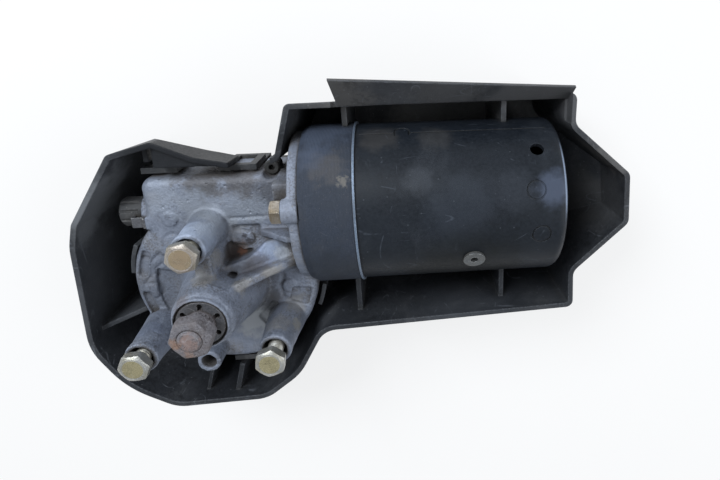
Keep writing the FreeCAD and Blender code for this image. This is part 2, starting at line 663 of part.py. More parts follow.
def motor_can():
    r, e, c = can_r, can_end, can_corner
    y = motor_y
    pts = [(seam_x + seam_t, r - can_t), (seam_x + seam_t, r), (e - c, r)]
    outer = [V(x, y + q, motor_z) for x, q in pts]
    k = math.sqrt(0.5)
    bend = Part.Arc(outer[2], V(e - c + c * k, y + r - c + c * k, motor_z), V(e, y + r - c, motor_z))
    ci = c - can_t
    back = [(e, r - c), (e, 10.5), (e + 4, 9.2), (e + 4, 0), (e + 2, 0), (e + 2, 7), (e - 2, 7),
            (e - 2, r - c)]
    tail = [V(x, y + q, motor_z) for x, q in back]
    inner_bend = Part.Arc(tail[-1], V(e - c + ci * k, y + r - c + ci * k, motor_z),
                          V(e - c, y + r - can_t, motor_z))
    edges = [Part.makeLine(outer[0], outer[1]), Part.makeLine(outer[1], outer[2]), bend.toShape()]
    for a, b in zip(tail[:-1], tail[1:]):
        edges.append(Part.makeLine(a, b))
    edges += [inner_bend.toShape(), Part.makeLine(V(e - c, y + r - can_t, motor_z), outer[0])]
    can = Part.Face(Part.Wire(edges)).revolve(V(0, motor_y, motor_z), V(1, 0, 0), 360)
    cuts = []
    for a in (40.4, 220.4):
        cuts.append(radial(2.6, can_r - 5, can_r + 2, e - 10.4, a))
    for x, a in ((e - 12.2, 69.6), (e - 10.0, 100.8)):
        cuts.append(radial(3.7, can_r - 0.5, can_r + 2, x, a).cut(radial(3.1, 20, 40, x, a)))
    cuts.append(radial(2.1, can_r - 5, can_r + 2, *eyelet))
    # rolled seam with its locking tongue
    groove = box(seam_x + 2, can_end - 5, motor_y + can_r - 0.5, motor_y + can_r + 2,
                 motor_z - 0.3, motor_z + 0.3)
    tongue = tab(3.0, -0.5)
    island = tab(2.3, -1.0)
    cuts.append(about_motor(groove.fuse(tongue).cut(island), 19.0))
    return can.cut(cuts[0].multiFuse(cuts[1:]))


def tab(half, low):
    # round-ended locking tongue across the seam, from low to above the can's surface
    x, y0, z = 72.8, motor_y + can_r + low, motor_z - 1.2
    pin = Part.makeCylinder(half, 2.5 - low, V(x, y0, z), V(0, 1, 0))
    return pin.fuse(box(x - half, x + half, y0, y0 + 2.5 - low, z, motor_z - 3 * low))


def radial(r, r0, r1, x, angle):
    # a pin pointing out of the motor axis, angle from +Y towards +Z
    a = math.radians(angle)
    d = V(0, math.cos(a), math.sin(a))
    return Part.makeCylinder(r, r1 - r0, V(x, motor_y, motor_z) + d * r0, d)


def can_eyelet():
    ring = radial(4.1, can_r - 0.6, can_r + 0.9, *eyelet)
    ring = ring.cut(cyl_x(can_r, eyelet[0] - 8, eyelet[0] + 8))
    barrel = radial(2.0, can_r - can_t, can_r + 0.9, *eyelet)
    return ring.fuse(barrel).cut(radial(1.5, 20, 40, *eyelet)).removeSplitter()


def seam_ring():
    return cyl_x(can_r + 0.9, seam_x, seam_x + seam_t).cut(cyl_x(can_r - can_t, seam_x - 1, seam_x + 2))


def magnets():
    arcs = []
    for start in (20, 200):
        x0, x1 = core_x[0] - 2.0, core_x[1] + 4.0
        ring = cyl_x(can_r - can_t, x0, x1).cut(cyl_x(core_r + pole_gap, x0 - 1, x1 + 1))
        pts = [V(x0 - 1, motor_y, motor_z)]
        for k in range(3):
            a = math.radians(start + 70 * k)
            pts.append(V(x0 - 1, motor_y + 99 * math.cos(a), motor_z + 99 * math.sin(a)))
        wedge = Part.Face(Part.makePolygon(pts + [pts[0]])).extrude(V(x1 - x0 + 2, 0, 0))
        arcs.append(ring.common(wedge))
    return Part.makeCompound(arcs)


def slot_cutter(x0, x1, half, r0, r1):
    cuts = []
    for k in range(12):
        cut = box(x0, x1, motor_y - half, motor_y + half, motor_z + r0, motor_z + r1)
        cuts.append(about_motor(cut, 30 * k))
    return cuts


def armature_core():
    core = cyl_x(core_r, *core_x).cut(cyl_x(shaft_r, 60, 120))
    cuts = slot_cutter(60, 120, 1.9, 11.0, 21.4) + slot_cutter(60, 120, 0.9, 21, 26)
    return core.cut(cuts[0].multiFuse(cuts[1:]))


def windings():
    parts = []
    for x0, x1 in ((core_x[0] - 10.5, core_x[0]), (core_x[1], core_x[1] + 9.5)):
        parts.append(turned_x([(x0, 10), (x0, 17), (x0 + 2, 20.5), (x1 - 1, 21.6), (x1, 21.2),
                               (x1, 8.5), (x0 + 2, 8.5)]))
    return fused(*parts, *slot_cutter(core_x[0] - 1, core_x[1] + 1, 1.9 - slack, 11.4, 21.0))


def commutator():
    body = turned_x([(40.8, shaft_r), (40.8, 8.6), (41.2, 9.0), (50, 9.0), (50, 10.6), (52, 10.6),
                     (52, shaft_r)])
    cuts = slot_cutter(40, 53, 0.3, 8.2, 12)
    return body.cut(cuts[0].multiFuse(cuts[1:]))


def brush_plate():
    plate = cyl_x(band_r - 2.1, plate_x0, plate_x1).cut(cyl_x(12.4, 30, 50))
    for a in (screw_angle, screw_angle + 180):
        y = motor_y + screw_ring_r * math.cos(math.radians(a))
        z = motor_z + screw_ring_r * math.sin(math.radians(a))
        plate = plate.cut(cyl_x(4.6, 37, 42, y, z))
    return plate


def around_brushes(x0, x1, half, r0, r1):
    blocks = []
    for a in (-30, 90, 210):
        block = box(x0, x1, motor_y - half, motor_y + half, motor_z + r0, motor_z + r1)
        blocks.append(about_motor(block, a))
    return blocks


def brush_holders():
    shells = around_brushes(plate_x1, 48.0, 3.6, 11.5, 25.0)
    holes = around_brushes(41.0, 47.2, 2.8, 10, 24.2)
    return Part.makeCompound([s.cut(h) for s, h in zip(shells, holes)])


def brushes():
    tips = around_brushes(41.2, 47.0, 2.6, 8.0, 19.0)
    return Part.makeCompound([t.cut(cyl_x(9.0 + 0.1, 30, 60)) for t in tips])


def brush_springs():
    coils = []
    for a in (-30, 90, 210):
        tube = Part.makeCylinder(2.2, 5.2, V(44.1, motor_y, motor_z + 19.0))
        bore = Part.makeCylinder(1.6, 7.0, V(44.1, motor_y, motor_z + 18.5))
        coils.append(about_motor(tube.cut(bore), a))
    return Part.makeCompound(coils)


def suppression_chokes():
    rods = []
    for a in (30, 150):
        rod = Part.makeCylinder(2.4, 12, V(plate_x1 + 2.4, motor_y - 6, motor_z + 20), V(0, 1, 0))
        rods.append(about_motor(rod, a))
    return Part.makeCompound(rods)


def bush_x(x0, x1):
    return cyl_x(seat_r, x0, x1).cut(cyl_x(shaft_r + run_gap, x0 - 1, x1 + 1))


def shaft_bushes():
    rings = []
    for z0, z1 in ((chamber_top + 0.5, chamber_top + 10.5), (boss_top - 16.0, boss_top - 4.2)):
        rings.append(cyl(seat_r, z0, z1).cut(cyl(out_r + run_gap, z0 - 1, z1 + 1)))
    return Part.makeCompound(rings)


def park_contacts():
    fingers = []
    tip = motor_z - wheel_thick / 2 + rib_sink - ring_t - slack
    base = gear_cover_z + gear_cover_t
    z = base + 0.8
    for r in (12.5, 14.5, 16.5):
        foot = box(r - 0.5, r + 0.5, -6, -2, base, base + 1.2)
        blade = web([(r - 0.5, -3, z), (r + 0.5, -3, z), (r + 0.5, -2.2, z), (r - 0.5, -2.2, z)],
                    [(r - 0.5, 3.6, tip), (r + 0.5, 3.6, tip), (r + 0.5, 4.4, tip), (r - 0.5, 4.4, tip)])
        fingers.append(foot.fuse(blade).removeSplitter())
    return Part.makeCompound(fingers)


nodes = {
    "protective_cover": protective_cover,
    "gear_housing": gear_housing,
    "gear_cover": gear_cover,
    "cover_gasket": cover_gasket,
    "mounting_bolts": mounting_bolts,
    "flange_screws": flange_screws,
    "thrust_adjuster": thrust_adjuster,
    "adjuster_lock": adjuster_lock,
    "thrust_ball": lambda: Part.makeSphere(thrust_ball_r, V(thrust_ball_x, motor_y, motor_z)),
    "cable_grommet": cable_grommet,
    "worm_end_bush": lambda: bush_x(-24.0, -16.0),
    "worm_mid_bush": lambda: bush_x(23.6, 33.0),
    "rear_bush": lambda: bush_x(can_end - 3.0, can_end + 1.9),
    "shaft_bushes": shaft_bushes,
    "thrust_washer": lambda: cyl(8.5, chamber_top - 0.6, chamber_top).cut(cyl(out_r + 0.2, 40, 45)),
    "shaft_seal": lambda: cyl(seat_r, boss_top - 4.0, boss_top - 2.2).cut(cyl(out_r + 0.1, 60, 90)),
    "park_contacts": park_contacts,
    "brush_housing": brush_housing,
    "seam_ring": seam_ring,
    "motor_can": motor_can,
    "can_eyelet": can_eyelet,
    "magnets": magnets,
    "brush_plate": brush_plate,
    "brush_holders": brush_holders,
    "brushes": brushes,
    "brush_springs": brush_springs,
    "suppression_chokes": suppression_chokes,
    "armature_shaft": armature_shaft,
    "armature_core": armature_core,
    "windings": windings,
    "commutator": commutator,
    "output_shaft": output_shaft,
    "worm_wheel": worm_wheel,
    "park_disc": park_disc,
    "star_washer": star_washer,
    "output_nut": output_nut,
}

os.makedirs("parts", exist_ok=True)
for name, make in nodes.items():
    shape = make()
    shape.exportStep("parts/%s.step" % name)
    print(name, "valid", shape.isValid(), "solids", len(shape.Solids), "volume", round(shape.Volume, 1))
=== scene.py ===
import json
import math

import bmesh
import bpy
import numpy as np
from mathutils import Matrix, Vector


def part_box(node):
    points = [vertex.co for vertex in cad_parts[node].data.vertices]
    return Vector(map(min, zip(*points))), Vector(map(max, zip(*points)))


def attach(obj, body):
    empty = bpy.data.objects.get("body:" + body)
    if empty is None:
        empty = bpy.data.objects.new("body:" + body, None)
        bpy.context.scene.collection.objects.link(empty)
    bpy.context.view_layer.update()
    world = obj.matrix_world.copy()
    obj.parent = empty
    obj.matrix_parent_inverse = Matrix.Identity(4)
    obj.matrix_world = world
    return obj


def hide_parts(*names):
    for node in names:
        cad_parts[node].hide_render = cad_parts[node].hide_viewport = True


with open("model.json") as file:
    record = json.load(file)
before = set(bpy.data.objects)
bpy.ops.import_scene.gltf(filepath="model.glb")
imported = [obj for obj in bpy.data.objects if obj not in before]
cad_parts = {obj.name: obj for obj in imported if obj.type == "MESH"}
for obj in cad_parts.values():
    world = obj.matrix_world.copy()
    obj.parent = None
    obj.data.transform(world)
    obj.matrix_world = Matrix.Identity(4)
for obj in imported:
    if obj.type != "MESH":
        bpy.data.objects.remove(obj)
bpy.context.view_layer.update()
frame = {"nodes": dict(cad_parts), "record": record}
nodes = frame["nodes"]
mounts = {mount["name"]: mount for mount in frame["record"]["mounts"]}
coverLow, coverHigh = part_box("protective_cover")
print("frame loaded:", len(nodes), "nodes")


# node helpers
def put(tree, kind, settings=None, wires=None):
    # adds a shader node; a wire is a plain value or another node's output
    made = tree.nodes.new("ShaderNode" + kind)
    for key, value in (settings or {}).items():
        setattr(made, key, value)
    for key, value in (wires or {}).items():
        if isinstance(value, bpy.types.NodeSocket):
            tree.links.new(value, made.inputs[key])
        else:
            made.inputs[key].default_value = value
    return made


def spread(tree, value, low, high, toLow=0.0, toHigh=1.0):
    # smooth remap of a value from low..high to toLow..toHigh
    wires = {0: value, 1: low, 2: high, 3: toLow, 4: toHigh}
    return put(tree, "MapRange", {"interpolation_type": "SMOOTHSTEP"}, wires).outputs[0]


def calc(tree, operation, a, b=0.0):
    return put(tree, "Math", {"operation": operation}, {0: a, 1: b}).outputs[0]


def times(tree, a, b):
    return calc(tree, "MULTIPLY", a, b)


def shade(r, g, b):
    return (r, g, b, 1.0)


def blendColour(tree, mask, under, over):
    return put(tree, "Mix", {"data_type": "RGBA"}, {0: mask, 6: under, 7: over}).outputs[2]


def laid(tree, mask, under, tone):
    # a plain tone laid over a colour where the mask is 1
    return blendColour(tree, mask, under, shade(*tone))


def noise(tree, where, scale, detail=4.0, rough=0.55, stretch=None, distortion=0.0):
    # scale is in features per metre of the object
    if stretch:
        where = put(tree, "VectorMath", {"operation": "MULTIPLY"}, {0: where, 1: stretch}).outputs[0]
    wires = {"Vector": where, "Scale": scale, "Detail": detail, "Roughness": rough, "Distortion": distortion}
    return put(tree, "TexNoise", None, wires).outputs[0]


def place(tree):
    return put(tree, "TexCoord").outputs["Object"]


def component(tree, vector, axis):
    return put(tree, "SeparateXYZ", None, {0: vector}).outputs[axis]


def newGroup(name, inputs, outputs):
    tree = bpy.data.node_groups.new(name, "ShaderNodeTree")
    for label, value in inputs.items():
        sock = tree.interface.new_socket(name=label, in_out="INPUT", socket_type="NodeSocketFloat")
        sock.default_value = value
    for label in outputs:
        tree.interface.new_socket(name=label, in_out="OUTPUT", socket_type="NodeSocketFloat")
    return tree, tree.nodes.new("NodeGroupInput").outputs, tree.nodes.new("NodeGroupOutput").inputs


def useGroup(tree, group, **values):
    # places a shared effect; pitDepth=0.3 fills its input "Pit depth"
    made = tree.nodes.new("ShaderNodeGroup")
    made.node_tree = group
    for key, value in values.items():
        label = "".join(" " + c if c.isupper() else c for c in key).capitalize()
        made.inputs[label].default_value = value
    return made.outputs


# shared effects; a pair in a shape is the low and high end of a remap
def makeEdgeWear():
    # bright where the surface turns outwards: rounded normal against the flat one, broken by noise
    shape = {"samples": 4, "bend": (0.995, 0.86), "breaks": (0.35, 0.62)}
    tree, given, out = newGroup("edge wear", {"Radius": 0.0006, "Breakup": 900.0, "Amount": 1.0}, ["Mask"])
    rounded = put(tree, "Bevel", {"samples": shape["samples"]}, {"Radius": given["Radius"]}).outputs[0]
    flat = put(tree, "NewGeometry").outputs["Normal"]
    facing = put(tree, "VectorMath", {"operation": "DOT_PRODUCT"}, {0: rounded, 1: flat}).outputs["Value"]
    bend = spread(tree, facing, *shape["bend"])
    broken = spread(tree, noise(tree, place(tree), given["Breakup"]), *shape["breaks"])
    tree.links.new(times(tree, times(tree, bend, broken), given["Amount"]), out["Mask"])
    return tree


def makeCornerGrime():
    # dirt and painted shade that lie in corners: how closed in the surface is, moved up and down by patches
    # of noise
    shape = {"samples": 6, "closed": (0.95, 0.35), "patchMiddle": 0.55, "edge": (0.05, 0.75)}
    start = {"Distance": 0.006, "Patch": 160.0, "Amount": 1.0}
    tree, given, out = newGroup("corner grime", start, ["Mask"])
    openness = put(tree, "AmbientOcclusion", {"samples": shape["samples"]}, {"Distance": given["Distance"]})
    closed = spread(tree, openness.outputs["AO"], *shape["closed"])
    patches = noise(tree, place(tree), given["Patch"], detail=6.0, rough=0.62)
    mixed = calc(tree, "ADD", closed, calc(tree, "SUBTRACT", patches, shape["patchMiddle"]))
    tree.links.new(times(tree, spread(tree, mixed, *shape["edge"]), given["Amount"]), out["Mask"])
    return tree


def makeSettledDust():
    # settled dust: more on faces that look up, in clouds with fine grain
    shape = {"upward": (-0.2, 0.9), "bareLevel": 0.86, "coverStep": 0.62, "soft": 0.24,
             "grain": (0.30, 0.66, 0.25, 1.0)}
    start = {"Cloud": 60.0, "Cover": 0.5, "Grain": 2600.0, "Facing": 0.6}
    tree, given, out = newGroup("settled dust", start, ["Mask"])
    upward = spread(tree, component(tree, put(tree, "NewGeometry").outputs["Normal"], "Z"), *shape["upward"])
    share = put(tree, "Mix", {"data_type": "FLOAT"}, {0: given["Facing"], 2: 1.0, 3: upward}).outputs[0]
    cloud = noise(tree, place(tree), given["Cloud"], detail=7.0, rough=0.65, distortion=0.6)
    low = calc(tree, "SUBTRACT", shape["bareLevel"], times(tree, given["Cover"], shape["coverStep"]))
    clouds = spread(tree, cloud, low, calc(tree, "ADD", low, shape["soft"]))
    fine = noise(tree, place(tree), given["Grain"], detail=2.0, rough=0.6)
    grain = spread(tree, fine, *shape["grain"])
    tree.links.new(times(tree, times(tree, clouds, grain), share), out["Mask"])
    return tree


def makeRubbedStreaks():
    # thin rubbed streaks: noise stretched along X and along Y, kept only at its crests
    shape = {"stretches": ((0.12, 1.0, 1.0), (1.0, 0.10, 0.6)), "crest": 0.60, "thinStep": 0.08, "soft": 0.05,
             "fieldScale": 45.0, "field": (0.42, 0.66)}
    tree, given, out = newGroup("rubbed streaks", {"Scale": 220.0, "Amount": 1.0, "Thin": 0.5}, ["Mask"])
    where = place(tree)
    streaks = []
    for stretch in shape["stretches"]:
        lines = noise(tree, where, given["Scale"], detail=5.0, rough=0.7, stretch=stretch, distortion=1.2)
        edge = calc(tree, "ADD", shape["crest"], times(tree, given["Thin"], shape["thinStep"]))
        streaks.append(spread(tree, lines, edge, calc(tree, "ADD", edge, shape["soft"])))
    field = spread(tree, noise(tree, where, shape["fieldScale"], detail=3.0), *shape["field"])
    mask = times(tree, times(tree, calc(tree, "MAXIMUM", *streaks), field), given["Amount"])
    tree.links.new(mask, out["Mask"])
    return tree


def makeSurfaceGrain():
    # surface height: a coarse swell, a fine grain and sparse pits
    shape = {"pit": (0.0, 0.34, 1.0, 0.0), "fieldScale": 260.0, "field": (0.52, 0.62), "swell": 0.8,
             "pitTone": 0.6}
    start = {"Swell": 90.0, "Grain": 1400.0, "Pits": 500.0, "Pit depth": 0.5}
    tree, given, out = newGroup("surface grain", start, ["Height", "Tone"])
    where = place(tree)
    swell = noise(tree, where, given["Swell"], detail=3.0, rough=0.5)
    fine = noise(tree, where, given["Grain"], detail=5.0, rough=0.6)
    cells = put(tree, "TexVoronoi", None, {"Vector": where, "Scale": given["Pits"], "Randomness": 1.0})
    pit = spread(tree, cells.outputs["Distance"], *shape["pit"])
    chosen = spread(tree, noise(tree, where, shape["fieldScale"], detail=2.0), *shape["field"])
    pits = times(tree, times(tree, pit, chosen), given["Pit depth"])
    height = calc(tree, "SUBTRACT", calc(tree, "ADD", times(tree, swell, shape["swell"]), fine), pits)
    tree.links.new(height, out["Height"])
    tree.links.new(calc(tree, "SUBTRACT", fine, times(tree, pits, shape["pitTone"])), out["Tone"])
    return tree


def makeHairlines():
    # hair-thin scratches: contour lines of stretched noise, broken by a field
    shape = {"stretches": ((0.35, 1.0, 0.7), (1.0, 0.25, 0.5)), "contour": 0.5, "fieldScale": 150.0,
             "field": (0.50, 0.64)}
    start = {"Scale": 60.0, "Width": 0.004, "Amount": 1.0}
    tree, given, out = newGroup("hairline scratches", start, ["Mask"])
    where = place(tree)
    lines = []
    for stretch in shape["stretches"]:
        level = noise(tree, where, given["Scale"], detail=1.5, rough=0.5, stretch=stretch, distortion=0.4)
        away = calc(tree, "ABSOLUTE", calc(tree, "SUBTRACT", level, shape["contour"]))
        lines.append(spread(tree, away, given["Width"], 0.0))
    breaks = noise(tree, where, shape["fieldScale"], detail=3.0, rough=0.6)
    field = spread(tree, breaks, *shape["field"])
    mask = times(tree, times(tree, calc(tree, "MAXIMUM", *lines), field), given["Amount"])
    tree.links.new(mask, out["Mask"])
    return tree


def makeDustSpecks():
    # small light specks of dust, each cell with its own chance of holding one
    shape = {"chanceEdge": 0.6, "dotEdge": 0.4}
    tree, given, out = newGroup("dust specks", {"Scale": 800.0, "Size": 0.22, "Share": 0.3}, ["Mask"])
    cells = put(tree, "TexVoronoi", None, {"Vector": place(tree), "Scale": given["Scale"]}).outputs
    chance = component(tree, cells["Color"], "X")
    chosen = spread(tree, chance, given["Share"], times(tree, given["Share"], shape["chanceEdge"]))
    dot = spread(tree, cells["Distance"], given["Size"], times(tree, given["Size"], shape["dotEdge"]))
    tree.links.new(times(tree, dot, chosen), out["Mask"])
    return tree


edgeWear = makeEdgeWear()
cornerGrime = makeCornerGrime()
settledDust = makeSettledDust()
rubbedStreaks = makeRubbedStreaks()
surfaceGrain = makeSurfaceGrain()
hairlines = makeHairlines()
dustSpecks = makeDustSpecks()
print("shared effects built")

# how the layers of a finish lie on each other; a pair is the low and high end of a remap
layering = {
    "tone": (0.2, 0.8), "patchScale": 0.8, "patch": (0.35, 0.7), "up": (0.93, 0.97, 0.0, 0.9),
    "cloudScale": 0.35, "cloud": (0.44, 0.62), "fleckScale": 5.0, "fleck": (0.46, 0.60), "speckShare": 0.6,
    "spotNoise": 2.2, "spotCore": 0.35, "ringRagged": 0.3, "dullBy": 0.3, "dustHeight": 0.6,
    "hairDepth": 0.25, "ringHeight": 0.35, "edgeSamples": 4,
}


def around(tree, centre, radius, ragged):
    # mask that is 1 near a point of the object and fades out over radius, with a ragged rim
    away = put(tree, "VectorMath", {"operation": "DISTANCE"}, {0: place(tree), 1: centre}).outputs["Value"]
    wander = noise(tree, place(tree), layering["spotNoise"] / radius, detail=5.0)
    wander = calc(tree, "SUBTRACT", wander, 0.5)
    away = calc(tree, "ADD", away, times(tree, wander, radius * ragged * 2.0))
    return spread(tree, away, radius, radius * layering["spotCore"])


def baseTones(tree, values, grain):
    # dark to light with the grain, patches of a third tone, and another tone on faces that look straight up
    tone = spread(tree, grain["Tone"], *layering["tone"])
    colour = blendColour(tree, tone, shade(*values["dark"]), shade(*values["light"]))
    patchy = noise(tree, place(tree), values["swell"] * layering["patchScale"], detail=5.0, rough=0.6)
    patch = spread(tree, patchy, *layering["patch"])
    colour = laid(tree, times(tree, patch, values["patchShare"]), colour, values["patch"])
    if values["face"]:
        trueNormal = put(tree, "NewGeometry").outputs["True Normal"]
        upward = spread(tree, component(tree, trueNormal, "Z"), *layering["up"])
        faceTone = blendColour(tree, tone, shade(*values["face"][0]), shade(*values["face"][1]))
        colour = blendColour(tree, upward, colour, faceTone)
    return colour


def darkFlecks(tree, values, colour):
    # dark speckled dirt in clouds
    scale, share = values["blotchScale"], values["blotch"]
    cloudy = noise(tree, place(tree), scale * layering["cloudScale"], detail=4.0, rough=0.6)
    flecked = noise(tree, place(tree), scale * layering["fleckScale"], detail=4.0, rough=0.7)
    mask = times(tree, spread(tree, cloudy, *layering["cloud"]), spread(tree, flecked, *layering["fleck"]))
    return laid(tree, times(tree, mask, share), colour, values["blotchColour"])


def rubbedBand(tree, band, colour):
    # a painted highlight: a light ring round the X axis, strongest near one point
    off = calc(tree, "ABSOLUTE", calc(tree, "SUBTRACT", component(tree, place(tree), "X"), band["x"]))
    ring = spread(tree, off, band["half"], 0.0)
    ring = times(tree, ring, around(tree, band["at"], band["size"], layering["ringRagged"]))
    return laid(tree, times(tree, ring, band["share"]), colour, band["colour"])


def finish(name, values):
    # a whole finish from one dictionary: base tones, stains and painted light, flecks, streaks, scratches,
    # specks, worn edges, corner dirt with painted shade and dust are laid on in that order, and the stains
    # and painted light and shade on top of the dust come last, then the rings of painted highlight
    made = bpy.data.materials.new(name)
    made.use_nodes = True
    tree = made.node_tree
    tree.nodes.clear()
    shader = put(tree, "BsdfPrincipled", None, values["sockets"])
    put(tree, "OutputMaterial", None, {0: shader.outputs[0]})
    grain = useGroup(tree, surfaceGrain, swell=values["swell"], grain=values["grain"], pits=values["pits"],
                     pitDepth=values["pitDepth"])
    colour = baseTones(tree, values, grain)
    metal = values["metal"]
    # stains and spots of painted light, under the dust
    for spot in values["stains"]:
        mask = times(tree, around(tree, spot["at"], spot["size"], values["ragged"]), spot["share"])
        colour = laid(tree, mask, colour, spot["colour"])
        metal = times(tree, metal, calc(tree, "SUBTRACT", 1.0, mask))
    if values["blotch"]:
        colour = darkFlecks(tree, values, colour)
    streak = useGroup(tree, rubbedStreaks, scale=values["streakScale"], amount=values["streaks"],
                      thin=values["streakThin"])["Mask"]
    colour = laid(tree, streak, colour, values["rubbed"])
    hair = useGroup(tree, hairlines, scale=values["hairScale"], width=values["hairWidth"],
                    amount=values["hairs"])["Mask"]
    colour = laid(tree, hair, colour, values["rubbed"])
    speck = useGroup(tree, dustSpecks, scale=values["speckScale"], size=values["speckSize"],
                     share=values["specks"])["Mask"]
    colour = laid(tree, times(tree, speck, layering["speckShare"]), colour, values["dust"])
    worn = useGroup(tree, edgeWear, radius=values["edge"], breakup=values["wearScale"],
                    amount=values["wear"])["Mask"]
    colour = laid(tree, worn, colour, values["rubbed"])
    # corner dirt and painted shade: darker where the surface is closed in
    dirt = useGroup(tree, cornerGrime, distance=values["reach"], patch=values["dirtScale"],
                    amount=values["grime"])["Mask"]
    colour = laid(tree, dirt, colour, values["dirt"])
    dust = useGroup(tree, settledDust, cloud=values["cloud"], cover=values["dusty"],
                    grain=values["dustGrain"], facing=values["facing"])["Mask"]
    dust = times(tree, dust, values["dustShare"])
    colour = laid(tree, dust, colour, values["dust"])
    # stains and spots of painted light and shade, over the dust
    for spot in values["overStains"]:
        mask = times(tree, around(tree, spot["at"], spot["size"], values["ragged"]), spot["share"])
        colour = laid(tree, mask, colour, spot["colour"])
    # rings of painted highlight
    for band in values["bands"]:
        colour = rubbedBand(tree, band, colour)
    tree.links.new(colour, shader.inputs["Base Color"])

    # bare metal shows where nothing lies on it, and the corner dirt with its painted shade and the dust dull
    # the surface
    covered = calc(tree, "MAXIMUM", dirt, dust)
    bare = calc(tree, "MAXIMUM", metal, times(tree, worn, values["wornMetal"]))
    tree.links.new(times(tree, bare, calc(tree, "SUBTRACT", 1.0, covered)), shader.inputs["Metallic"])
    rough = spread(tree, grain["Tone"], *layering["tone"], *values["rough"])
    rough = calc(tree, "ADD", rough, times(tree, covered, layering["dullBy"]))
    tree.links.new(rough, shader.inputs["Roughness"])

    # height of grain and dust less the scratches, on softly rounded edges
    height = calc(tree, "ADD", grain["Height"], times(tree, dust, layering["dustHeight"]))
    height = calc(tree, "SUBTRACT", height, times(tree, hair, layering["hairDepth"]))
    if values["turning"]:
        # fine rings left round the X axis, one every turning metres
        turns = times(tree, component(tree, place(tree), "X"), 2 * math.pi / values["turning"])
        wave = calc(tree, "SINE", turns)
        height = calc(tree, "ADD", height, times(tree, wave, layering["ringHeight"]))
    rounded = put(tree, "Bevel", {"samples": layering["edgeSamples"]}, {"Radius": values["edge"]}).outputs[0]
    wires = {"Height": height, "Strength": values["bump"], "Distance": values["depth"], "Normal": rounded}
    tree.links.new(put(tree, "Bump", None, wires).outputs[0], shader.inputs["Normal"])
    return made


# what every finish starts from; lengths in metres, scales in features per metre
plain = {
    "dark": (0.03, 0.03, 0.03), "light": (0.06, 0.06, 0.06), "patch": (0.05, 0.05, 0.05), "patchShare": 0.4,
    "face": None, "metal": 0.0, "rough": (0.4, 0.6), "swell": 90.0, "grain": 1500.0, "pits": 500.0,
    "pitDepth": 0.3, "streakScale": 220.0, "streaks": 0.2, "streakThin": 0.5, "rubbed": (0.12, 0.12, 0.12),
    "edge": 0.0004, "wear": 0.5, "wearScale": 900.0, "wornMetal": 0.0, "reach": 0.005, "grime": 0.5,
    "dirt": (0.03, 0.025, 0.02), "dirtScale": 170.0, "cloud": 70.0, "dusty": 0.4, "dustShare": 0.4,
    "dust": (0.11, 0.105, 0.10), "dustGrain": 2600.0, "facing": 0.7, "bump": 0.25, "depth": 0.0004,
    "hairs": 0.3, "hairScale": 70.0, "hairWidth": 0.006, "specks": 0.05, "speckScale": 700.0,
    "speckSize": 0.24, "turning": 0.0, "ragged": 0.5, "blotch": 0.0, "blotchColour": (0.04, 0.036, 0.034),
    "blotchScale": 150.0, "stains": [], "overStains": [], "bands": [], "sockets": {},
}


def look(**changes):
    return dict(plain, **changes)


def stain(at, size, share, colour):
    # a spot on a piece, used for stains and for painted light and shade: its middle, its reach, how strongly
    # it shows and its colour
    return {"at": at, "size": size, "share": share, "colour": colour}


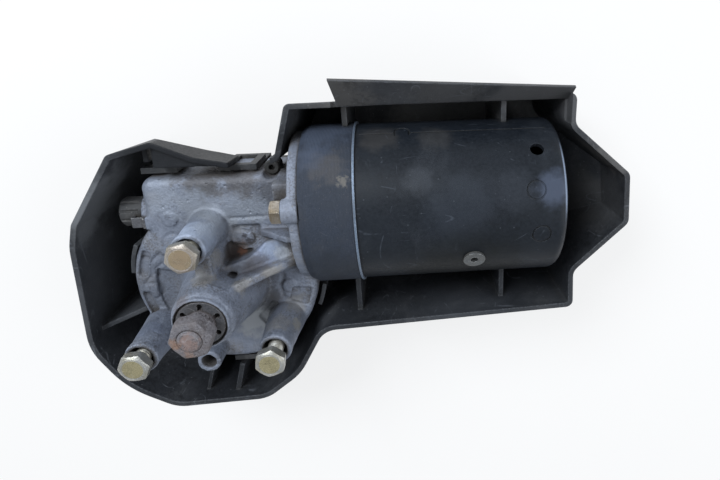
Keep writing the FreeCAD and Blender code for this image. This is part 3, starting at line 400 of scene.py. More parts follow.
# splash cover: black moulding gone grey, dusty on the walls and rubbed at the rims, with painted shade under
# the upper lip and painted light on the left wall, the lip and the deep floor
coverLook = look(
    dark=(0.0150, 0.0168, 0.0205), light=(0.034, 0.037, 0.043), patch=(0.052, 0.055, 0.061),
    patchShare=0.6, rough=(0.40, 0.58), swell=60.0, grain=1500.0, streaks=1.0,
    rubbed=(0.135, 0.145, 0.165), edge=0.0008, wear=0.75, grime=0.5, dirt=(0.040, 0.038, 0.036),
    cloud=46.0, dusty=0.62, dustShare=0.42, dust=(0.135, 0.138, 0.145), bump=0.25, depth=0.0005,
    hairs=0.65, hairScale=55.0, specks=0.14, facing=0.25, blotch=0.5, blotchColour=(0.010, 0.0105, 0.012),
    blotchScale=90.0, ragged=0.8, sockets={"Specular IOR Level": 0.36},
    overStains=[
        # next three spots: painted shade in the gap under the upper lip
        stain((-0.008, 0.053, 0.045), 0.026, 0.8, (0.0120, 0.0135, 0.0165)),
        stain((0.016, 0.049, 0.042), 0.020, 0.8, (0.0120, 0.0135, 0.0165)),
        stain((0.000, 0.0530, 0.046), 0.036, 0.95, (0.0060, 0.0072, 0.0100)),
        # next three spots: painted light on the shaded left wall of the bowl
        stain((-0.044, 0.034, 0.042), 0.022, 0.85, (0.150, 0.157, 0.168)),
        stain((-0.051, 0.012, 0.040), 0.016, 0.4, (0.085, 0.090, 0.100)),
        stain((-0.053, -0.006, 0.043), 0.022, 0.4, (0.085, 0.090, 0.100)),
        stain((0.150, 0.0460, 0.044), 0.015, 0.6, (0.120, 0.114, 0.110)),
        # next two spots: painted sheen and dust on the upper lip
        stain((0.1245, 0.0735, 0.050), 0.026, 0.65, (0.098, 0.098, 0.102)),
        stain((0.0800, 0.0720, 0.047), 0.034, 0.35, (0.066, 0.068, 0.074)),
        # painted light on the floor deep under the upper flange
        stain((0.0950, 0.0580, 0.002), 0.040, 0.75, (0.150, 0.148, 0.145)),
        stain((0.0950, -0.0185, 0.049), 0.026, 0.3, (0.060, 0.066, 0.078)),
        stain((0.0215, -0.0414, 0.031), 0.014, 0.5, (0.090, 0.095, 0.105)),
        # painted light low on the left wall of the bowl
        stain((-0.051, 0.000, 0.030), 0.024, 0.45, (0.060, 0.063, 0.068)),
        # painted sheen and dust on the right of the upper lip
        stain((0.124, 0.0735, 0.048), 0.022, 0.6, (0.080, 0.080, 0.082)),
        stain((0.158, 0.025, 0.036), 0.020, 0.4, (0.070, 0.070, 0.072)),
    ],
    stains=[
        # next two spots: painted light on the shaded left wall of the bowl
        stain((-0.040, 0.045, 0.025), 0.022, 0.5, (0.072, 0.074, 0.078)),
        stain((-0.045, 0.030, 0.030), 0.028, 0.35, (0.060, 0.060, 0.060)),
        stain((0.050, 0.074, 0.048), 0.020, 0.5, (0.115, 0.108, 0.100)),
        stain((0.090, 0.075, 0.048), 0.020, 0.35, (0.105, 0.100, 0.095)),
        stain((0.150, 0.020, 0.020), 0.020, 0.35, (0.055, 0.052, 0.048)),
    ],
)

# gear case: cast alloy, with dirt and painted shade round the posts, sandy on the webs, rusty in its pocket,
# with painted highlights on the posts and webs and painted light on its roof and low side
castLook = look(
    dark=(0.135, 0.153, 0.195), light=(0.245, 0.275, 0.345), patch=(0.30, 0.335, 0.415), patchShare=0.6,
    metal=0.35, rough=(0.42, 0.64), swell=110.0, grain=1100.0, pits=420.0, pitDepth=0.8, streaks=0.35,
    rubbed=(0.46, 0.50, 0.58), edge=0.0006, wear=0.6, wornMetal=0.6, reach=0.007, grime=0.95,
    dirt=(0.060, 0.053, 0.048), cloud=85.0, dusty=0.62, dustShare=0.5, dust=(0.20, 0.175, 0.145),
    bump=0.6, depth=0.0006, hairs=0.35, hairScale=120.0, specks=0.16, speckScale=650.0, ragged=0.8,
    blotch=0.6, blotchColour=(0.055, 0.052, 0.053), blotchScale=230.0,
    overStains=[
        # painted highlight: bluish sheen on the top of post A
        stain((-0.001, 0.0290, 0.063), 0.0105, 0.75, (0.40, 0.47, 0.61)),
        # painted highlight: bluish light on the top of post B
        stain((-0.028, -0.0130, 0.058), 0.0060, 0.5, (0.30, 0.36, 0.50)),
        stain((-0.024, 0.0020, 0.046), 0.0170, 0.5, (0.110, 0.120, 0.145)),
        stain((0.020, -0.0080, 0.055), 0.0150, 0.35, (0.110, 0.118, 0.140)),
        # painted light on the shaded low side of the case right of the boss
        stain((0.016, -0.0200, 0.048), 0.0080, 0.4, (0.22, 0.225, 0.235)),
        stain((-0.014, 0.0442, 0.044), 0.0050, 0.45, (0.085, 0.080, 0.078)),
        # next three spots: painted light on the roof, lighter and bluer
        stain((-0.0180, 0.0370, 0.047), 0.0095, 0.6, (0.30, 0.335, 0.40)),
        stain((-0.0050, 0.0330, 0.047), 0.0110, 0.6, (0.26, 0.285, 0.325)),
        stain((0.0120, 0.0310, 0.047), 0.0120, 0.6, (0.255, 0.28, 0.32)),
        stain((-0.002, 0.0432, 0.046), 0.0090, 0.75, (0.080, 0.073, 0.070)),
        stain((0.012, 0.0428, 0.046), 0.0090, 0.75, (0.085, 0.076, 0.072)),
        stain((0.0225, 0.0390, 0.047), 0.0085, 0.7, (0.080, 0.080, 0.088)),
        # painted light on the shaded low side of the case right of the boss
        stain((0.0085, -0.0165, 0.046), 0.0120, 0.9, (0.44, 0.455, 0.48)),
        # next two spots: painted light on the shaded side of post A and by its foot
        stain((0.0040, 0.0265, 0.055), 0.0070, 0.6, (0.33, 0.365, 0.43)),
        stain((0.0060, 0.0225, 0.047), 0.0055, 0.5, (0.27, 0.285, 0.32)),
        stain((0.0018, 0.0170, 0.059), 0.0050, 0.55, (0.29, 0.28, 0.255)),
        stain((0.0120, 0.0100, 0.055), 0.0060, 0.5, (0.115, 0.125, 0.150)),
        stain((0.0060, 0.0105, 0.056), 0.0050, 0.4, (0.130, 0.140, 0.170)),
        stain((-0.0275, -0.0115, 0.058), 0.0075, 0.6, (0.100, 0.113, 0.148)),
        stain((0.0157, -0.0131, 0.048), 0.0055, 0.6, (0.060, 0.064, 0.074)),
        stain((-0.0050, 0.0075, 0.075), 0.0050, 0.5, (0.125, 0.100, 0.090)),
        stain((0.0050, 0.0120, 0.0454), 0.0050, 0.75, (0.080, 0.062, 0.058)),
        stain((0.0078, 0.0132, 0.0454), 0.0026, 0.85, (0.230, 0.110, 0.070)),
        stain((0.0112, 0.0180, 0.0464), 0.0018, 0.8, (0.045, 0.038, 0.040)),
        stain((0.0098, 0.0200, 0.0464), 0.0013, 0.8, (0.045, 0.038, 0.040)),
        stain((0.0028, 0.0144, 0.0569), 0.0050, 0.45, (0.29, 0.29, 0.30)),
        stain((-0.0020, 0.0122, 0.0640), 0.0050, 0.4, (0.28, 0.29, 0.31)),
        # painted highlight on the web right of the pocket
        stain((0.0205, 0.0165, 0.0511), 0.0055, 0.4, (0.32, 0.38, 0.49)),
        stain((0.0185, 0.0211, 0.0495), 0.0050, 0.5, (0.130, 0.130, 0.145)),
        # painted highlight on the web right of the pocket
        stain((0.0245, 0.0140, 0.0515), 0.0040, 0.5, (0.44, 0.47, 0.52)),
        stain((0.0155, 0.0099, 0.0550), 0.0075, 0.65, (0.075, 0.068, 0.075)),
        # next two spots: painted bluish-white highlight on the side of post A
        stain((0.0012, 0.0306, 0.0520), 0.0050, 0.6, (0.36, 0.40, 0.47)),
        stain((0.0014, 0.0291, 0.0615), 0.0065, 0.6, (0.34, 0.38, 0.45)),
        stain((0.0265, -0.0107, 0.0480), 0.0060, 0.45, (0.23, 0.22, 0.20)),
        stain((0.0290, -0.0150, 0.0560), 0.0045, 0.6, (0.30, 0.285, 0.25)),
        stain((0.0235, -0.0135, 0.0600), 0.0050, 0.4, (0.12, 0.13, 0.155)),
        # painted highlight at the foot of post A
        stain((0.0010, 0.0300, 0.0470), 0.0045, 0.5, (0.40, 0.44, 0.52)),
    ],
    stains=[
        stain((0.0070, 0.0150, 0.047), 0.0048, 0.75, (0.20, 0.105, 0.06)),
        stain((0.0100, 0.0130, 0.046), 0.0022, 0.9, (0.03, 0.025, 0.02)),
        stain((0.0210, 0.0105, 0.058), 0.0060, 0.6, (0.26, 0.235, 0.19)),
        stain((0.0300, 0.0120, 0.052), 0.0060, 0.7, (0.27, 0.245, 0.20)),
        stain((0.0120, 0.0080, 0.064), 0.0050, 0.55, (0.25, 0.23, 0.19)),
        stain((-0.0008, 0.0120, 0.066), 0.0060, 0.6, (0.25, 0.225, 0.18)),
        stain((0.0010, 0.0290, 0.052), 0.0065, 0.45, (0.19, 0.175, 0.15)),
        # painted highlight on the web right of the pocket
        stain((0.0180, 0.0150, 0.053), 0.0070, 0.7, (0.27, 0.33, 0.48)),
        stain((0.0240, 0.0420, 0.056), 0.0100, 0.5, (0.10, 0.092, 0.085)),
        stain((0.0010, 0.0430, 0.055), 0.0100, 0.5, (0.11, 0.100, 0.092)),
        stain((0.0170, -0.0060, 0.047), 0.0060, 0.7, (0.065, 0.068, 0.078)),
        stain((0.0215, -0.0120, 0.060), 0.0070, 0.5, (0.25, 0.225, 0.18)),
        # painted highlight: bluish sheen on the top of post A
        stain((-0.0060, 0.0260, 0.066), 0.0080, 0.5, (0.36, 0.42, 0.54)),
    ],
)

# brush housing: dark paint over fine turned rings, with painted bluish light on its +Y side and painted shade
# on its -Y side
bandLook = look(
    dark=(0.021, 0.0275, 0.041), light=(0.043, 0.053, 0.075), patch=(0.032, 0.037, 0.047), patchShare=0.5,
    rough=(0.55, 0.72), swell=120.0, grain=1900.0, streaks=0.3, rubbed=(0.13, 0.145, 0.175), wear=0.6,
    wornMetal=0.5, grime=0.4, dusty=0.6, dustShare=0.22, dust=(0.105, 0.105, 0.11), bump=0.5,
    depth=0.0003, sockets={"Specular IOR Level": 0.25}, hairs=0.25, specks=0.4, speckScale=1300.0,
    turning=0.0005, ragged=0.9,
    overStains=[
        stain((0.0455, 0.050, 0.060), 0.0085, 0.32, (0.115, 0.105, 0.098)),
        stain((0.0515, 0.046, 0.064), 0.0030, 0.5, (0.24, 0.22, 0.19)),
        # next two spots: painted bluish light on the +Y side of the band
        stain((0.0430, 0.058, 0.046), 0.0130, 0.55, (0.075, 0.094, 0.138)),
        stain((0.0400, 0.053, 0.056), 0.0090, 0.4, (0.065, 0.083, 0.125)),
        # painted shade on the -Y side of the band
        stain((0.0460, 0.012, 0.062), 0.0140, 0.4, (0.020, 0.024, 0.030)),
    ],
)

# motor can: near black paint with smudges, with a painted bluish sheen on its top, painted shade on its -Y
# side and a painted highlight round its closed end
canLook = look(
    dark=(0.0058, 0.0080, 0.0118), light=(0.0120, 0.0155, 0.0215), patch=(0.016, 0.0200, 0.0265),
    patchShare=0.5, rough=(0.40, 0.56), swell=70.0, grain=900.0, streaks=0.4,
    rubbed=(0.075, 0.088, 0.110), wear=0.55, wornMetal=0.5, grime=0.4, dirt=(0.035, 0.033, 0.030),
    cloud=42.0, dusty=0.6, dustShare=0.36, dust=(0.060, 0.068, 0.081), bump=0.12, depth=0.0003, hairs=0.5,
    hairScale=45.0, specks=0.10, speckScale=600.0, sockets={"Specular IOR Level": 0.22}, ragged=0.45,
    facing=0.4, blotch=0.6, blotchColour=(0.006, 0.0075, 0.0095), blotchScale=60.0,
    overStains=[
        stain((0.064, 0.058, 0.049), 0.010, 0.35, (0.075, 0.070, 0.066)),
        stain((0.085, 0.058, 0.050), 0.009, 0.3, (0.070, 0.067, 0.064)),
        stain((0.078, 0.045, 0.064), 0.007, 0.35, (0.055, 0.062, 0.075)),
        # next three spots: painted bluish sheen across the top of the can, strongest near its closed end
        stain((0.092, 0.034, 0.066), 0.017, 0.30, (0.042, 0.051, 0.068)),
        stain((0.112, 0.040, 0.065), 0.010, 0.25, (0.048, 0.056, 0.072)),
        stain((0.1265, 0.040, 0.065), 0.009, 0.6, (0.085, 0.105, 0.155)),
        # painted shade: near black on the -Y side of the can
        stain((0.095, 0.0026, 0.053), 0.034, 0.85, (0.0050, 0.0062, 0.0068)),
    ],
    bands=[
        # painted highlight along the edge of the can's closed end
        {"x": 0.1312, "half": 0.0007, "at": (0.131, 0.042, 0.063), "size": 0.018, "share": 0.85,
         "colour": (0.30, 0.37, 0.50)},
    ],
)

# seam ring: bare rolled edge
seamLook = look(
    dark=(0.140, 0.190, 0.270), light=(0.260, 0.330, 0.435), patch=(0.095, 0.115, 0.15), patchShare=0.7,
    metal=0.5, rough=(0.35, 0.55), rubbed=(0.40, 0.44, 0.50), wear=0.7, wornMetal=0.9, grime=0.7,
    dustShare=0.4, bump=0.3,
)

# end cap of the worm tunnel
knobLook = look(
    dark=(0.018, 0.0195, 0.0225), light=(0.040, 0.042, 0.046), patch=(0.062, 0.060, 0.058),
    patchShare=0.6, rough=(0.5, 0.7), rubbed=(0.26, 0.26, 0.27), wear=0.6, grime=0.9, dusty=0.6,
    dustShare=0.5, dust=(0.17, 0.165, 0.155), bump=0.5, specks=0.3,
)

# lid under the case, with its clips
clipLook = look(
    dark=(0.014, 0.0155, 0.018), light=(0.034, 0.037, 0.042), patch=(0.05, 0.05, 0.052),
    rough=(0.45, 0.62), rubbed=(0.12, 0.125, 0.135), wear=0.7, grime=0.6, dusty=0.7, dustShare=0.5,
    dust=(0.14, 0.135, 0.13), bump=0.5, specks=0.3,
)

# post bolts: zinc, yellow on the crowns, one of them gone brown
yellowZincLook = look(
    dark=(0.33, 0.33, 0.32), light=(0.52, 0.52, 0.50), patch=(0.38, 0.35, 0.25), patchShare=0.6,
    metal=0.75, rough=(0.26, 0.46), swell=300.0, grain=2600.0, rubbed=(0.66, 0.66, 0.65), wear=0.8,
    wornMetal=0.9, edge=0.0003, reach=0.002, grime=0.45, dirt=(0.11, 0.09, 0.06), cloud=200.0, dusty=0.45,
    dustShare=0.3, dust=(0.20, 0.17, 0.12), blotch=0.6, blotchColour=(0.10, 0.085, 0.055),
    blotchScale=1000.0, bump=0.35, depth=0.0002, hairs=0.5, hairScale=500.0, specks=0.2, ragged=0.15,
    face=((0.31, 0.27, 0.145), (0.62, 0.54, 0.32)),
    stains=[
        stain((-0.0027, 0.0244, 0.0790), 0.0092, 0.75, (0.215, 0.144, 0.098)),
    ],
)

# flange screws: the same plating, darker and without the yellow crown
screwLook = dict(
    yellowZincLook, face=None, dark=(0.175, 0.135, 0.092), light=(0.30, 0.25, 0.185),
    patch=(0.36, 0.35, 0.345), patchShare=0.5, stains=[],
)

# nut and shaft end: crusted steel with rust on top
rustLook = look(
    dark=(0.105, 0.100, 0.112), light=(0.27, 0.262, 0.285), patch=(0.15, 0.125, 0.120), patchShare=0.6,
    metal=0.30, rough=(0.55, 0.8), swell=260.0, grain=1500.0, pits=900.0, pitDepth=1.0, streaks=0.2,
    rubbed=(0.44, 0.44, 0.47), wear=0.6, wornMetal=0.6, edge=0.0005, reach=0.003, grime=0.6,
    dirt=(0.065, 0.048, 0.040), cloud=240.0, dusty=0.6, dustShare=0.5, dust=(0.32, 0.30, 0.30), bump=0.9,
    depth=0.0006, specks=0.3, speckScale=900.0, ragged=1.0, blotch=0.6,
    blotchColour=(0.075, 0.062, 0.062), blotchScale=400.0,
    stains=[
        stain((0.0, 0.0, 0.0885), 0.0042, 0.75, (0.25, 0.165, 0.14)),
        stain((-0.0050, -0.0010, 0.0873), 0.0030, 0.55, (0.29, 0.145, 0.07)),
        stain((-0.0010, -0.0052, 0.0873), 0.0024, 0.45, (0.27, 0.140, 0.075)),
    ],
)

# star washer, thrust washer, springs and lock: dull spring steel
washerLook = look(
    dark=(0.085, 0.086, 0.094), light=(0.185, 0.188, 0.205), patch=(0.085, 0.075, 0.070), metal=0.6,
    rough=(0.35, 0.55), swell=300.0, rubbed=(0.6, 0.6, 0.6), wear=0.8, wornMetal=0.9, edge=0.0003,
    reach=0.002, grime=1.0, dirt=(0.040, 0.033, 0.030), bump=0.4, depth=0.0002,
)

# can eyelet
zincLook = look(
    dark=(0.10, 0.105, 0.11), light=(0.20, 0.21, 0.215), patch=(0.12, 0.115, 0.105), metal=0.7,
    rough=(0.3, 0.5), swell=400.0, rubbed=(0.55, 0.55, 0.55), wear=0.7, wornMetal=0.9, edge=0.0003,
    reach=0.002, grime=0.9, bump=0.3, depth=0.0002,
)

# pieces that are seen only when the unit is apart
rubberLook = look(
    dark=(0.012, 0.012, 0.012), light=(0.024, 0.024, 0.024), rough=(0.6, 0.8), bump=0.35,
)
bronzeLook = look(
    dark=(0.24, 0.15, 0.07), light=(0.42, 0.28, 0.14), patch=(0.16, 0.10, 0.05), metal=0.85,
    rough=(0.35, 0.55), grime=0.4, dustShare=0.1,
)
brassLook = look(
    dark=(0.42, 0.29, 0.10), light=(0.62, 0.46, 0.19), patch=(0.30, 0.20, 0.08), metal=0.95,
    rough=(0.22, 0.4), grime=0.3, dustShare=0.1,
)
copperLook = look(
    dark=(0.30, 0.10, 0.035), light=(0.52, 0.20, 0.08), patch=(0.20, 0.07, 0.03), metal=0.85,
    rough=(0.25, 0.45), grime=0.3, dustShare=0.1,
)
ferriteLook = look(
    dark=(0.035, 0.036, 0.038), light=(0.07, 0.072, 0.075), rough=(0.5, 0.7), bump=0.5,
)
carbonLook = look(
    dark=(0.012, 0.012, 0.013), light=(0.035, 0.035, 0.037), metal=0.2, rough=(0.35, 0.55),
)
boardLook = look(
    dark=(0.11, 0.055, 0.022), light=(0.20, 0.11, 0.05), patch=(0.09, 0.05, 0.03), rough=(0.4, 0.55),
)
gearLook = look(
    dark=(0.55, 0.53, 0.44), light=(0.72, 0.70, 0.61), patch=(0.50, 0.42, 0.26), patchShare=0.35,
    rough=(0.32, 0.5), grime=0.6, dirt=(0.20, 0.13, 0.05), dustShare=0.05, wear=0.1,
)
steelLook = look(
    dark=(0.42, 0.42, 0.43), light=(0.60, 0.60, 0.61), patch=(0.36, 0.35, 0.34), metal=0.95,
    rough=(0.16, 0.3), rubbed=(0.75, 0.75, 0.75), grime=0.25, dustShare=0.05, bump=0.1,
)
coreLook = look(
    dark=(0.13, 0.13, 0.135), light=(0.26, 0.26, 0.27), patch=(0.16, 0.12, 0.09), metal=0.7,
    rough=(0.35, 0.55), dustShare=0.1,
)

finishes = {
    "coverPlastic": (coverLook, ["protective_cover"]),
    "castAlloy": (castLook, ["gear_housing"]),
    "clipPlastic": (clipLook, ["gear_cover"]),
    "bandPaint": (bandLook, ["brush_housing"]),
    "canPaint": (canLook, ["motor_can"]),
    "bareSeam": (seamLook, ["seam_ring"]),
    "capPlastic": (knobLook, ["thrust_adjuster"]),
    "yellowZinc": (yellowZincLook, ["mounting_bolts"]),
    "screwZinc": (screwLook, ["flange_screws"]),
    "rustedSteel": (rustLook, ["output_nut", "output_shaft"]),
    "dullSpringSteel": (washerLook, ["star_washer", "thrust_washer", "adjuster_lock", "brush_springs"]),
    "zincEyelet": (zincLook, ["can_eyelet"]),
    "blackRubber": (rubberLook, ["cover_gasket", "cable_grommet", "shaft_seal"]),
    "sinteredBronze": (bronzeLook, ["worm_end_bush", "worm_mid_bush", "rear_bush", "shaft_bushes"]),
    "rolledBrass": (brassLook, ["park_contacts", "brush_holders", "park_disc"]),
    "woundCopper": (copperLook, ["suppression_chokes", "windings", "commutator"]),
    "ferriteMagnet": (ferriteLook, ["magnets"]),
    "brushCarbon": (carbonLook, ["brushes"]),
    "brushBoard": (boardLook, ["brush_plate"]),
    "wheelPlastic": (gearLook, ["worm_wheel"]),
    "groundSteel": (steelLook, ["armature_shaft", "thrust_ball"]),
    "coreSteel": (coreLook, ["armature_core"]),
}
materials = {}
for label, (values, members) in finishes.items():
    materials[label] = finish(label, values)
    for member in members:
        nodes[member].data.materials.clear()
        nodes[member].data.materials.append(materials[label])
print("finishes on", sum(len(members) for values, members in finishes.values()), "nodes")


# mesh helpers
def meshFromGrid(name, points):
    # points is rows by columns by xyz: rows run along the profile, columns run round it and close
    rows, columns = points.shape[:2]
    ids = np.arange(rows * columns).reshape(rows, columns)
    nextIds = np.roll(ids, -1, axis=1)
    quads = np.stack([ids[:-1], nextIds[:-1], nextIds[1:], ids[1:]], -1).reshape(-1, 4)
    mesh = bpy.data.meshes.new(name)
    mesh.from_pydata(points.reshape(-1, 3).tolist(), [], quads.tolist())
    made = bpy.data.objects.new(name, mesh)
    bpy.context.scene.collection.objects.link(made)
    return made


def tidyMesh(piece, merge=1e-6):
    # welds doubles, closes poles, turns every face outwards and shades it smooth
    work = bmesh.new()
    work.from_mesh(piece.data)
    bmesh.ops.remove_doubles(work, verts=work.verts, dist=merge)
    bmesh.ops.dissolve_degenerate(work, edges=work.edges, dist=merge)
    bmesh.ops.recalc_face_normals(work, faces=work.faces)
    work.to_mesh(piece.data)
    work.free()
    piece.data.polygons.foreach_set("use_smooth", [True] * len(piece.data.polygons))
    return piece


def settle(piece, body, material, replaced):
    # gives a piece its finish and its body, and has it stand in for a CAD node
    piece.data.materials.clear()
    piece.data.materials.append(materials[material])
    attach(piece, body)
    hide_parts(replaced)


def lattice(points, cell, seed):
    # value noise: random heights on a cubic lattice, joined by smooth weights
    tableSize, strides = 4096, (73, 157, 311)
    table = np.random.default_rng(seed).random(tableSize)
    scaled = points / cell
    base = np.floor(scaled).astype(int)
    inside = scaled - base
    inside = inside * inside * (3 - 2 * inside)
    total = np.zeros(len(points))
    for step in np.ndindex(2, 2, 2):
        key = sum((base[:, axis] + step[axis]) * strides[axis] for axis in range(3))
        weight = np.ones(len(points))
        for axis in range(3):
            weight = weight * (inside[:, axis] if step[axis] else 1 - inside[:, axis])
        total += weight * table[key % tableSize]
    return total - 0.5


# how marks are cut: least upward normal, reach in height, half width of a ring's groove, softness of its edge
cutting = {"upward": 0.6, "reach": 0.0025, "groove": 0.00055, "edge": 0.0003}


def onSkin(where, facing, height):
    # points of the top skin that lie near one height
    return (facing[:, 2] > cutting["upward"]) & (np.abs(where[:, 2] - height) < cutting["reach"])


def ringMark(where, facing, mark):
    # a round field: raised inside its radius by a smooth step, with a groove like a Gaussian round it
    away = np.hypot(where[:, 0] - mark["at"][0], where[:, 1] - mark["at"][1]) - mark["r"]
    groove = np.exp(-(away / cutting["groove"]) ** 2) * mark["deep"]
    push = mark["up"] / (1 + np.exp(away / cutting["edge"])) - groove
    return np.where(onSkin(where, facing, mark["at"][2]), push, 0.0)


def lineMark(where, facing, mark):
    # a groove along a broken line: depth falls off like a Gaussian with the distance to the nearest stretch
    best = np.full(len(where), 1.0)
    for a, b in zip(mark["path"], mark["path"][1:]):
        a, b = np.array(a), np.array(b)
        run = b - a
        share = np.clip(((where[:, :2] - a) @ run) / (run @ run), 0, 1)
        best = np.minimum(best, np.linalg.norm(where[:, :2] - a - share[:, None] * run, axis=1))
    push = -mark["deep"] * np.exp(-(best / mark["wide"]) ** 2)
    return np.where(onSkin(where, facing, mark["z"]), push, 0.0)


def softened(node, name, skin):
    # a copy of a CAD node with cast rounding: remeshed fine, relaxed, then pushed along its normals by
    # value noise and by its marks
    made = bpy.data.objects.new(name, nodes[node].data.copy())
    bpy.context.scene.collection.objects.link(made)
    tidyMesh(made)
    remesh = made.modifiers.new("voxels", "REMESH")
    remesh.mode = "VOXEL"
    remesh.voxel_size = skin["voxel"]
    relax = made.modifiers.new("relax", "SMOOTH")
    relax.factor = skin["relax"]
    relax.iterations = skin["rounds"]
    mesh = bpy.data.meshes.new_from_object(made.evaluated_get(bpy.context.evaluated_depsgraph_get()))
    made.modifiers.clear()
    made.data = mesh
    where, facing = np.zeros(len(mesh.vertices) * 3), np.zeros(len(mesh.vertices) * 3)
    mesh.vertices.foreach_get("co", where)
    mesh.vertices.foreach_get("normal", facing)
    where, facing = where.reshape(-1, 3), facing.reshape(-1, 3)
    push = sum(size * lattice(where, cell, skin["seed"] + i) for i, (cell, size) in enumerate(skin["dents"]))
    push = push + sum(ringMark(where, facing, mark) for mark in skin["rings"])
    push = push + sum(lineMark(where, facing, mark) for mark in skin["lines"])
    where = where + facing * push[:, None]
    mesh.vertices.foreach_set("co", where.ravel())
    mesh.polygons.foreach_set("use_smooth", [True] * len(mesh.polygons))
    mesh.update()
    print(name, "faces", len(mesh.polygons))
    return made


# gear case: its upper skin lies at two heights and carries round fields and grooves
skinTop, roofTop = 0.046, 0.047
caseSkin = {
    "voxel": 0.00050, "relax": 0.5, "rounds": 3, "seed": 7, "dents": [(0.004, 0.00018), (0.0015, 0.00009)],
    "rings": [
        {"at": (-0.0166, 0.0284, roofTop), "r": 0.0034, "up": 0.00008, "deep": 0.00035},
        {"at": (-0.0170, 0.0190, skinTop), "r": 0.0034, "up": 0.00008, "deep": 0.00035},
        {"at": (-0.0292, -0.0020, skinTop), "r": 0.0034, "up": 0.00015, "deep": 0.0006},
        {"at": (0.0244, -0.0030, skinTop), "r": 0.0034, "up": 0.00010, "deep": 0.00045},
    ],
    "lines": [
        {"path": [(-0.0304, 0.0126), (-0.0273, 0.0111), (-0.0229, 0.0147)],
         "z": skinTop, "wide": 0.0006, "deep": 0.0007},
        {"path": [(-0.0279, 0.0105), (-0.0282, 0.0050), (-0.0316, 0.0015)],
         "z": skinTop, "wide": 0.0006, "deep": 0.0006},
        {"path": [(-0.0235, 0.0098), (-0.0265, 0.0075), (-0.0262, 0.0045)],
         "z": skinTop, "wide": 0.0006, "deep": 0.0006},
        {"path": [(0.0215, 0.0060), (0.0225, 0.0015), (0.0205, -0.0030), (0.0215, -0.0080)],
         "z": skinTop, "wide": 0.0006, "deep": 0.0007},
        {"path": [(0.0064, 0.0238), (0.0085, 0.0226), (0.0104, 0.0222), (0.0128, 0.0216), (0.0139, 0.0200),
                  (0.0140, 0.0182), (0.0131, 0.0165), (0.0110, 0.0155), (0.0078, 0.0158), (0.0040, 0.0171)],
         "z": skinTop, "wide": 0.0006, "deep": 0.0008},
        {"path": [(0.0056, 0.0277), (0.0131, 0.0277), (0.0195, 0.0280)],
         "z": roofTop, "wide": 0.0005, "deep": 0.0006},
    ],
}
settle(softened("gear_housing", "case_casting", caseSkin), "unit", "castAlloy", "gear_housing")

# bolts: crown gives shares of cap and drops, foot gives shares of the corner radius and lifts over the foot
boltShape = {
    "across": 0.010, "headHigh": 0.004, "cap": 0.00415, "chamfer": 30, "chamferRows": 6,
    "crown": [(0.0, 0.0), (0.55, 0.00005), (0.88, 0.0), (0.94, 0.00012)],
    "foot": [(1.0, 0.0006), (0.985, 0.0002), (0.9, 0.0)],
    "thread": 0.003, "root": 0.0025, "pitch": 0.001, "length": 0.019, "threadStart": 0.0008,
    "rowsPerTurn": 8, "neck": 0.0004, "tip": 0.8, "columns": 60,
    "turn": {"a": 12, "b": 4, "c": 20}, "sharp": 24, "reach": 0.008,
}


def hexRadius(angle, across, turn):
    # distance from the middle to the side of a hexagon in the direction of angle
    sector = np.mod(angle - turn, math.pi / 3) - math.pi / 6
    return across / 2 / np.cos(sector)


def boltSurface(x, y, top, turn, shape):
    # profile of (radius, height, kind) rows carried round the axis: kind 0 is round, kind 1 is held inside
    # the hexagon, kind 2 is cut by a triangular wave that climbs one pitch each turn
    angle = np.linspace(0, 2 * math.pi, shape["columns"], endpoint=False)
    cap, foot, neck = shape["cap"], -shape["headHigh"], shape["neck"]
    corner = shape["across"] / math.sqrt(3)
    fall = math.tan(math.radians(shape["chamfer"]))
    rows = [(cap * share, -drop, 0) for share, drop in shape["crown"]]
    steps = (corner - cap) * np.linspace(0, 1, shape["chamferRows"])
    rows += [(cap + step, -step * fall, 1) for step in steps]
    rows += [(corner * share, foot + lift, 1) for share, lift in shape["foot"]]
    rows += [(shape["thread"] + neck, foot, 0), (shape["thread"], foot - neck, 0)]
    start, end = foot - shape["threadStart"], foot - shape["length"]
    lay = np.arange(start, end, -shape["pitch"] / shape["rowsPerTurn"])
    rows += [(shape["thread"], z, 2) for z in lay]
    rows += [(shape["root"] * shape["tip"], lay[-1] - neck, 0), (0.0, lay[-1] - neck, 0)]
    radius, height, kind = (np.array(column)[:, None] for column in zip(*rows))
    hexed = np.minimum(radius, hexRadius(angle, shape["across"], math.radians(turn))[None, :])
    wave = np.abs(np.mod(height / shape["pitch"] + angle[None, :] / (2 * math.pi), 1.0) * 2 - 1)
    cut = radius - (shape["thread"] - shape["root"]) * wave
    r = np.where(kind == 1, hexed, np.where(kind == 2, cut, radius))
    z = np.broadcast_to(top + height, r.shape)
    return np.stack([x + r * np.cos(angle), y + r * np.sin(angle), z], -1)


boltPoints = np.zeros(len(nodes["mounting_bolts"].data.vertices) * 3)
nodes["mounting_bolts"].data.vertices.foreach_get("co", boltPoints)
boltPoints = boltPoints.reshape(-1, 3)
for label, turn in boltShape["turn"].items():
    x, y = mounts["post_" + label]["pos_m"][:2]
    near = np.hypot(boltPoints[:, 0] - x, boltPoints[:, 1] - y) < boltShape["reach"]
    surface = boltSurface(x, y, boltPoints[near, 2].max(), turn, boltShape)
    bolt = tidyMesh(meshFromGrid("post_bolt_" + label, surface))
    bolt.data.set_sharp_from_angle(angle=math.radians(boltShape["sharp"]))
    settle(bolt, "unit", "yellowZinc", "mounting_bolts")
print("bolts threaded")

# crusted nut
nutSkin = {"voxel": 0.00028, "relax": 0.5, "rounds": 3, "seed": 7,
           "dents": [(0.0024, 0.00026), (0.0009, 0.00016)], "rings": [], "lines": []}
settle(softened("output_nut", "crusted_nut", nutSkin), "output", "rustedSteel", "output_nut")

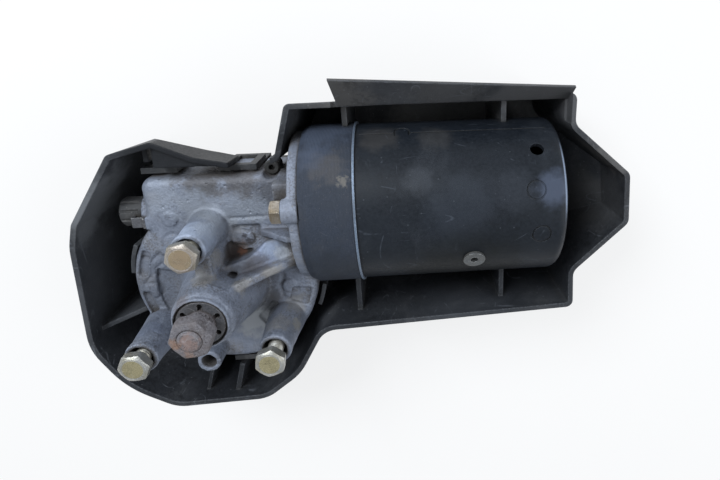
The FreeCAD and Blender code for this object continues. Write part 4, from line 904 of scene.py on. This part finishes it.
# camera
view = {"from": (0.07375, 0.09952, 0.24253), "lens": 26.46, "sensor": 36.0, "shift": (-0.11985, -0.04817),
        "right": (0.99623, -0.02026, 0.08431), "up": (0.04761, 0.94043, -0.33664), "clip": 0.01}
right, up = Vector(view["right"]).normalized(), Vector(view["up"]).normalized()
cameraTurn = Matrix((right, up, right.cross(up))).transposed().to_4x4()
cameraData = bpy.data.cameras.new("camera")
cameraData.lens = view["lens"]
cameraData.sensor_width = view["sensor"]
cameraData.sensor_fit = "HORIZONTAL"
cameraData.shift_x, cameraData.shift_y = view["shift"]
cameraData.clip_start = view["clip"]
camera = bpy.data.objects.new("camera", cameraData)
camera.matrix_world = Matrix.Translation(Vector(view["from"])) @ cameraTurn
bpy.context.scene.collection.objects.link(camera)
bpy.context.scene.camera = camera

# floor: matt paper that glows for the camera and in reflections only
paperFloor = {"reach": 3.0, "under": 0.0001, "tone": (0.86, 0.86, 0.86), "glow": 0.72}
reach = paperFloor["reach"]
corners = [(-reach, -reach, 0), (reach, -reach, 0), (reach, reach, 0), (-reach, reach, 0)]
floorMesh = bpy.data.meshes.new("floor")
floorMesh.from_pydata(corners, [], [(0, 1, 2, 3)])
floor = bpy.data.objects.new("floor", floorMesh)
floor.location.z = coverLow.z - paperFloor["under"]
bpy.context.scene.collection.objects.link(floor)
paper = bpy.data.materials.new("paper")
paper.use_nodes = True
tree = paper.node_tree
tree.nodes.clear()
rays = put(tree, "LightPath").outputs
seen = calc(tree, "MAXIMUM", rays["Is Camera Ray"], rays["Is Glossy Ray"])
seen = calc(tree, "MAXIMUM", seen, rays["Is Transmission Ray"])
matt = put(tree, "BsdfDiffuse", None, {"Color": shade(*paperFloor["tone"])}).outputs[0]
glow = put(tree, "Emission", None, {"Color": shade(1, 1, 1), "Strength": 1.0}).outputs[0]
share = times(tree, seen, paperFloor["glow"])
mixed = put(tree, "MixShader", None, {0: share, 1: matt, 2: glow}).outputs[0]
put(tree, "OutputMaterial", None, {0: mixed})
floorMesh.materials.append(paper)

# world: pale where it is seen, weaker where it lights the part
studio = {"tint": (0.90, 0.95, 1.0), "light": 0.50, "seen": 1.0}
world = bpy.data.worlds.new("studio")
bpy.context.scene.world = world
world.use_nodes = True
tree = world.node_tree
tree.nodes.clear()
rays = put(tree, "LightPath").outputs
seen = calc(tree, "MAXIMUM", rays["Is Camera Ray"], rays["Is Transmission Ray"])
level = spread(tree, seen, 0.0, 1.0, studio["light"], studio["seen"])
sky = put(tree, "Background", None, {"Color": shade(*studio["tint"]), "Strength": level}).outputs[0]
put(tree, "OutputWorld", None, {0: sky})

# lamps
lamps = {
    "key": {"at": (-0.26, 0.50, 0.56), "size": 0.34, "watts": 5.0, "tint": (0.90, 0.95, 1.0)},
    "fill": {"at": (0.62, 0.02, 0.46), "size": 0.60, "watts": 2.1, "tint": (0.93, 0.96, 1.0)},
}
aim = (coverLow + coverHigh) / 2
for label, lamp in lamps.items():
    data = bpy.data.lights.new(label, "AREA")
    data.energy = lamp["watts"]
    data.size = lamp["size"]
    data.color = lamp["tint"]
    source = bpy.data.objects.new(label, data)
    source.location = lamp["at"]
    source.rotation_euler = (aim - Vector(lamp["at"])).to_track_quat("-Z", "Y").to_euler()
    bpy.context.scene.collection.objects.link(source)
bpy.context.scene.view_settings.view_transform = "Standard"
print("camera, floor and light set")
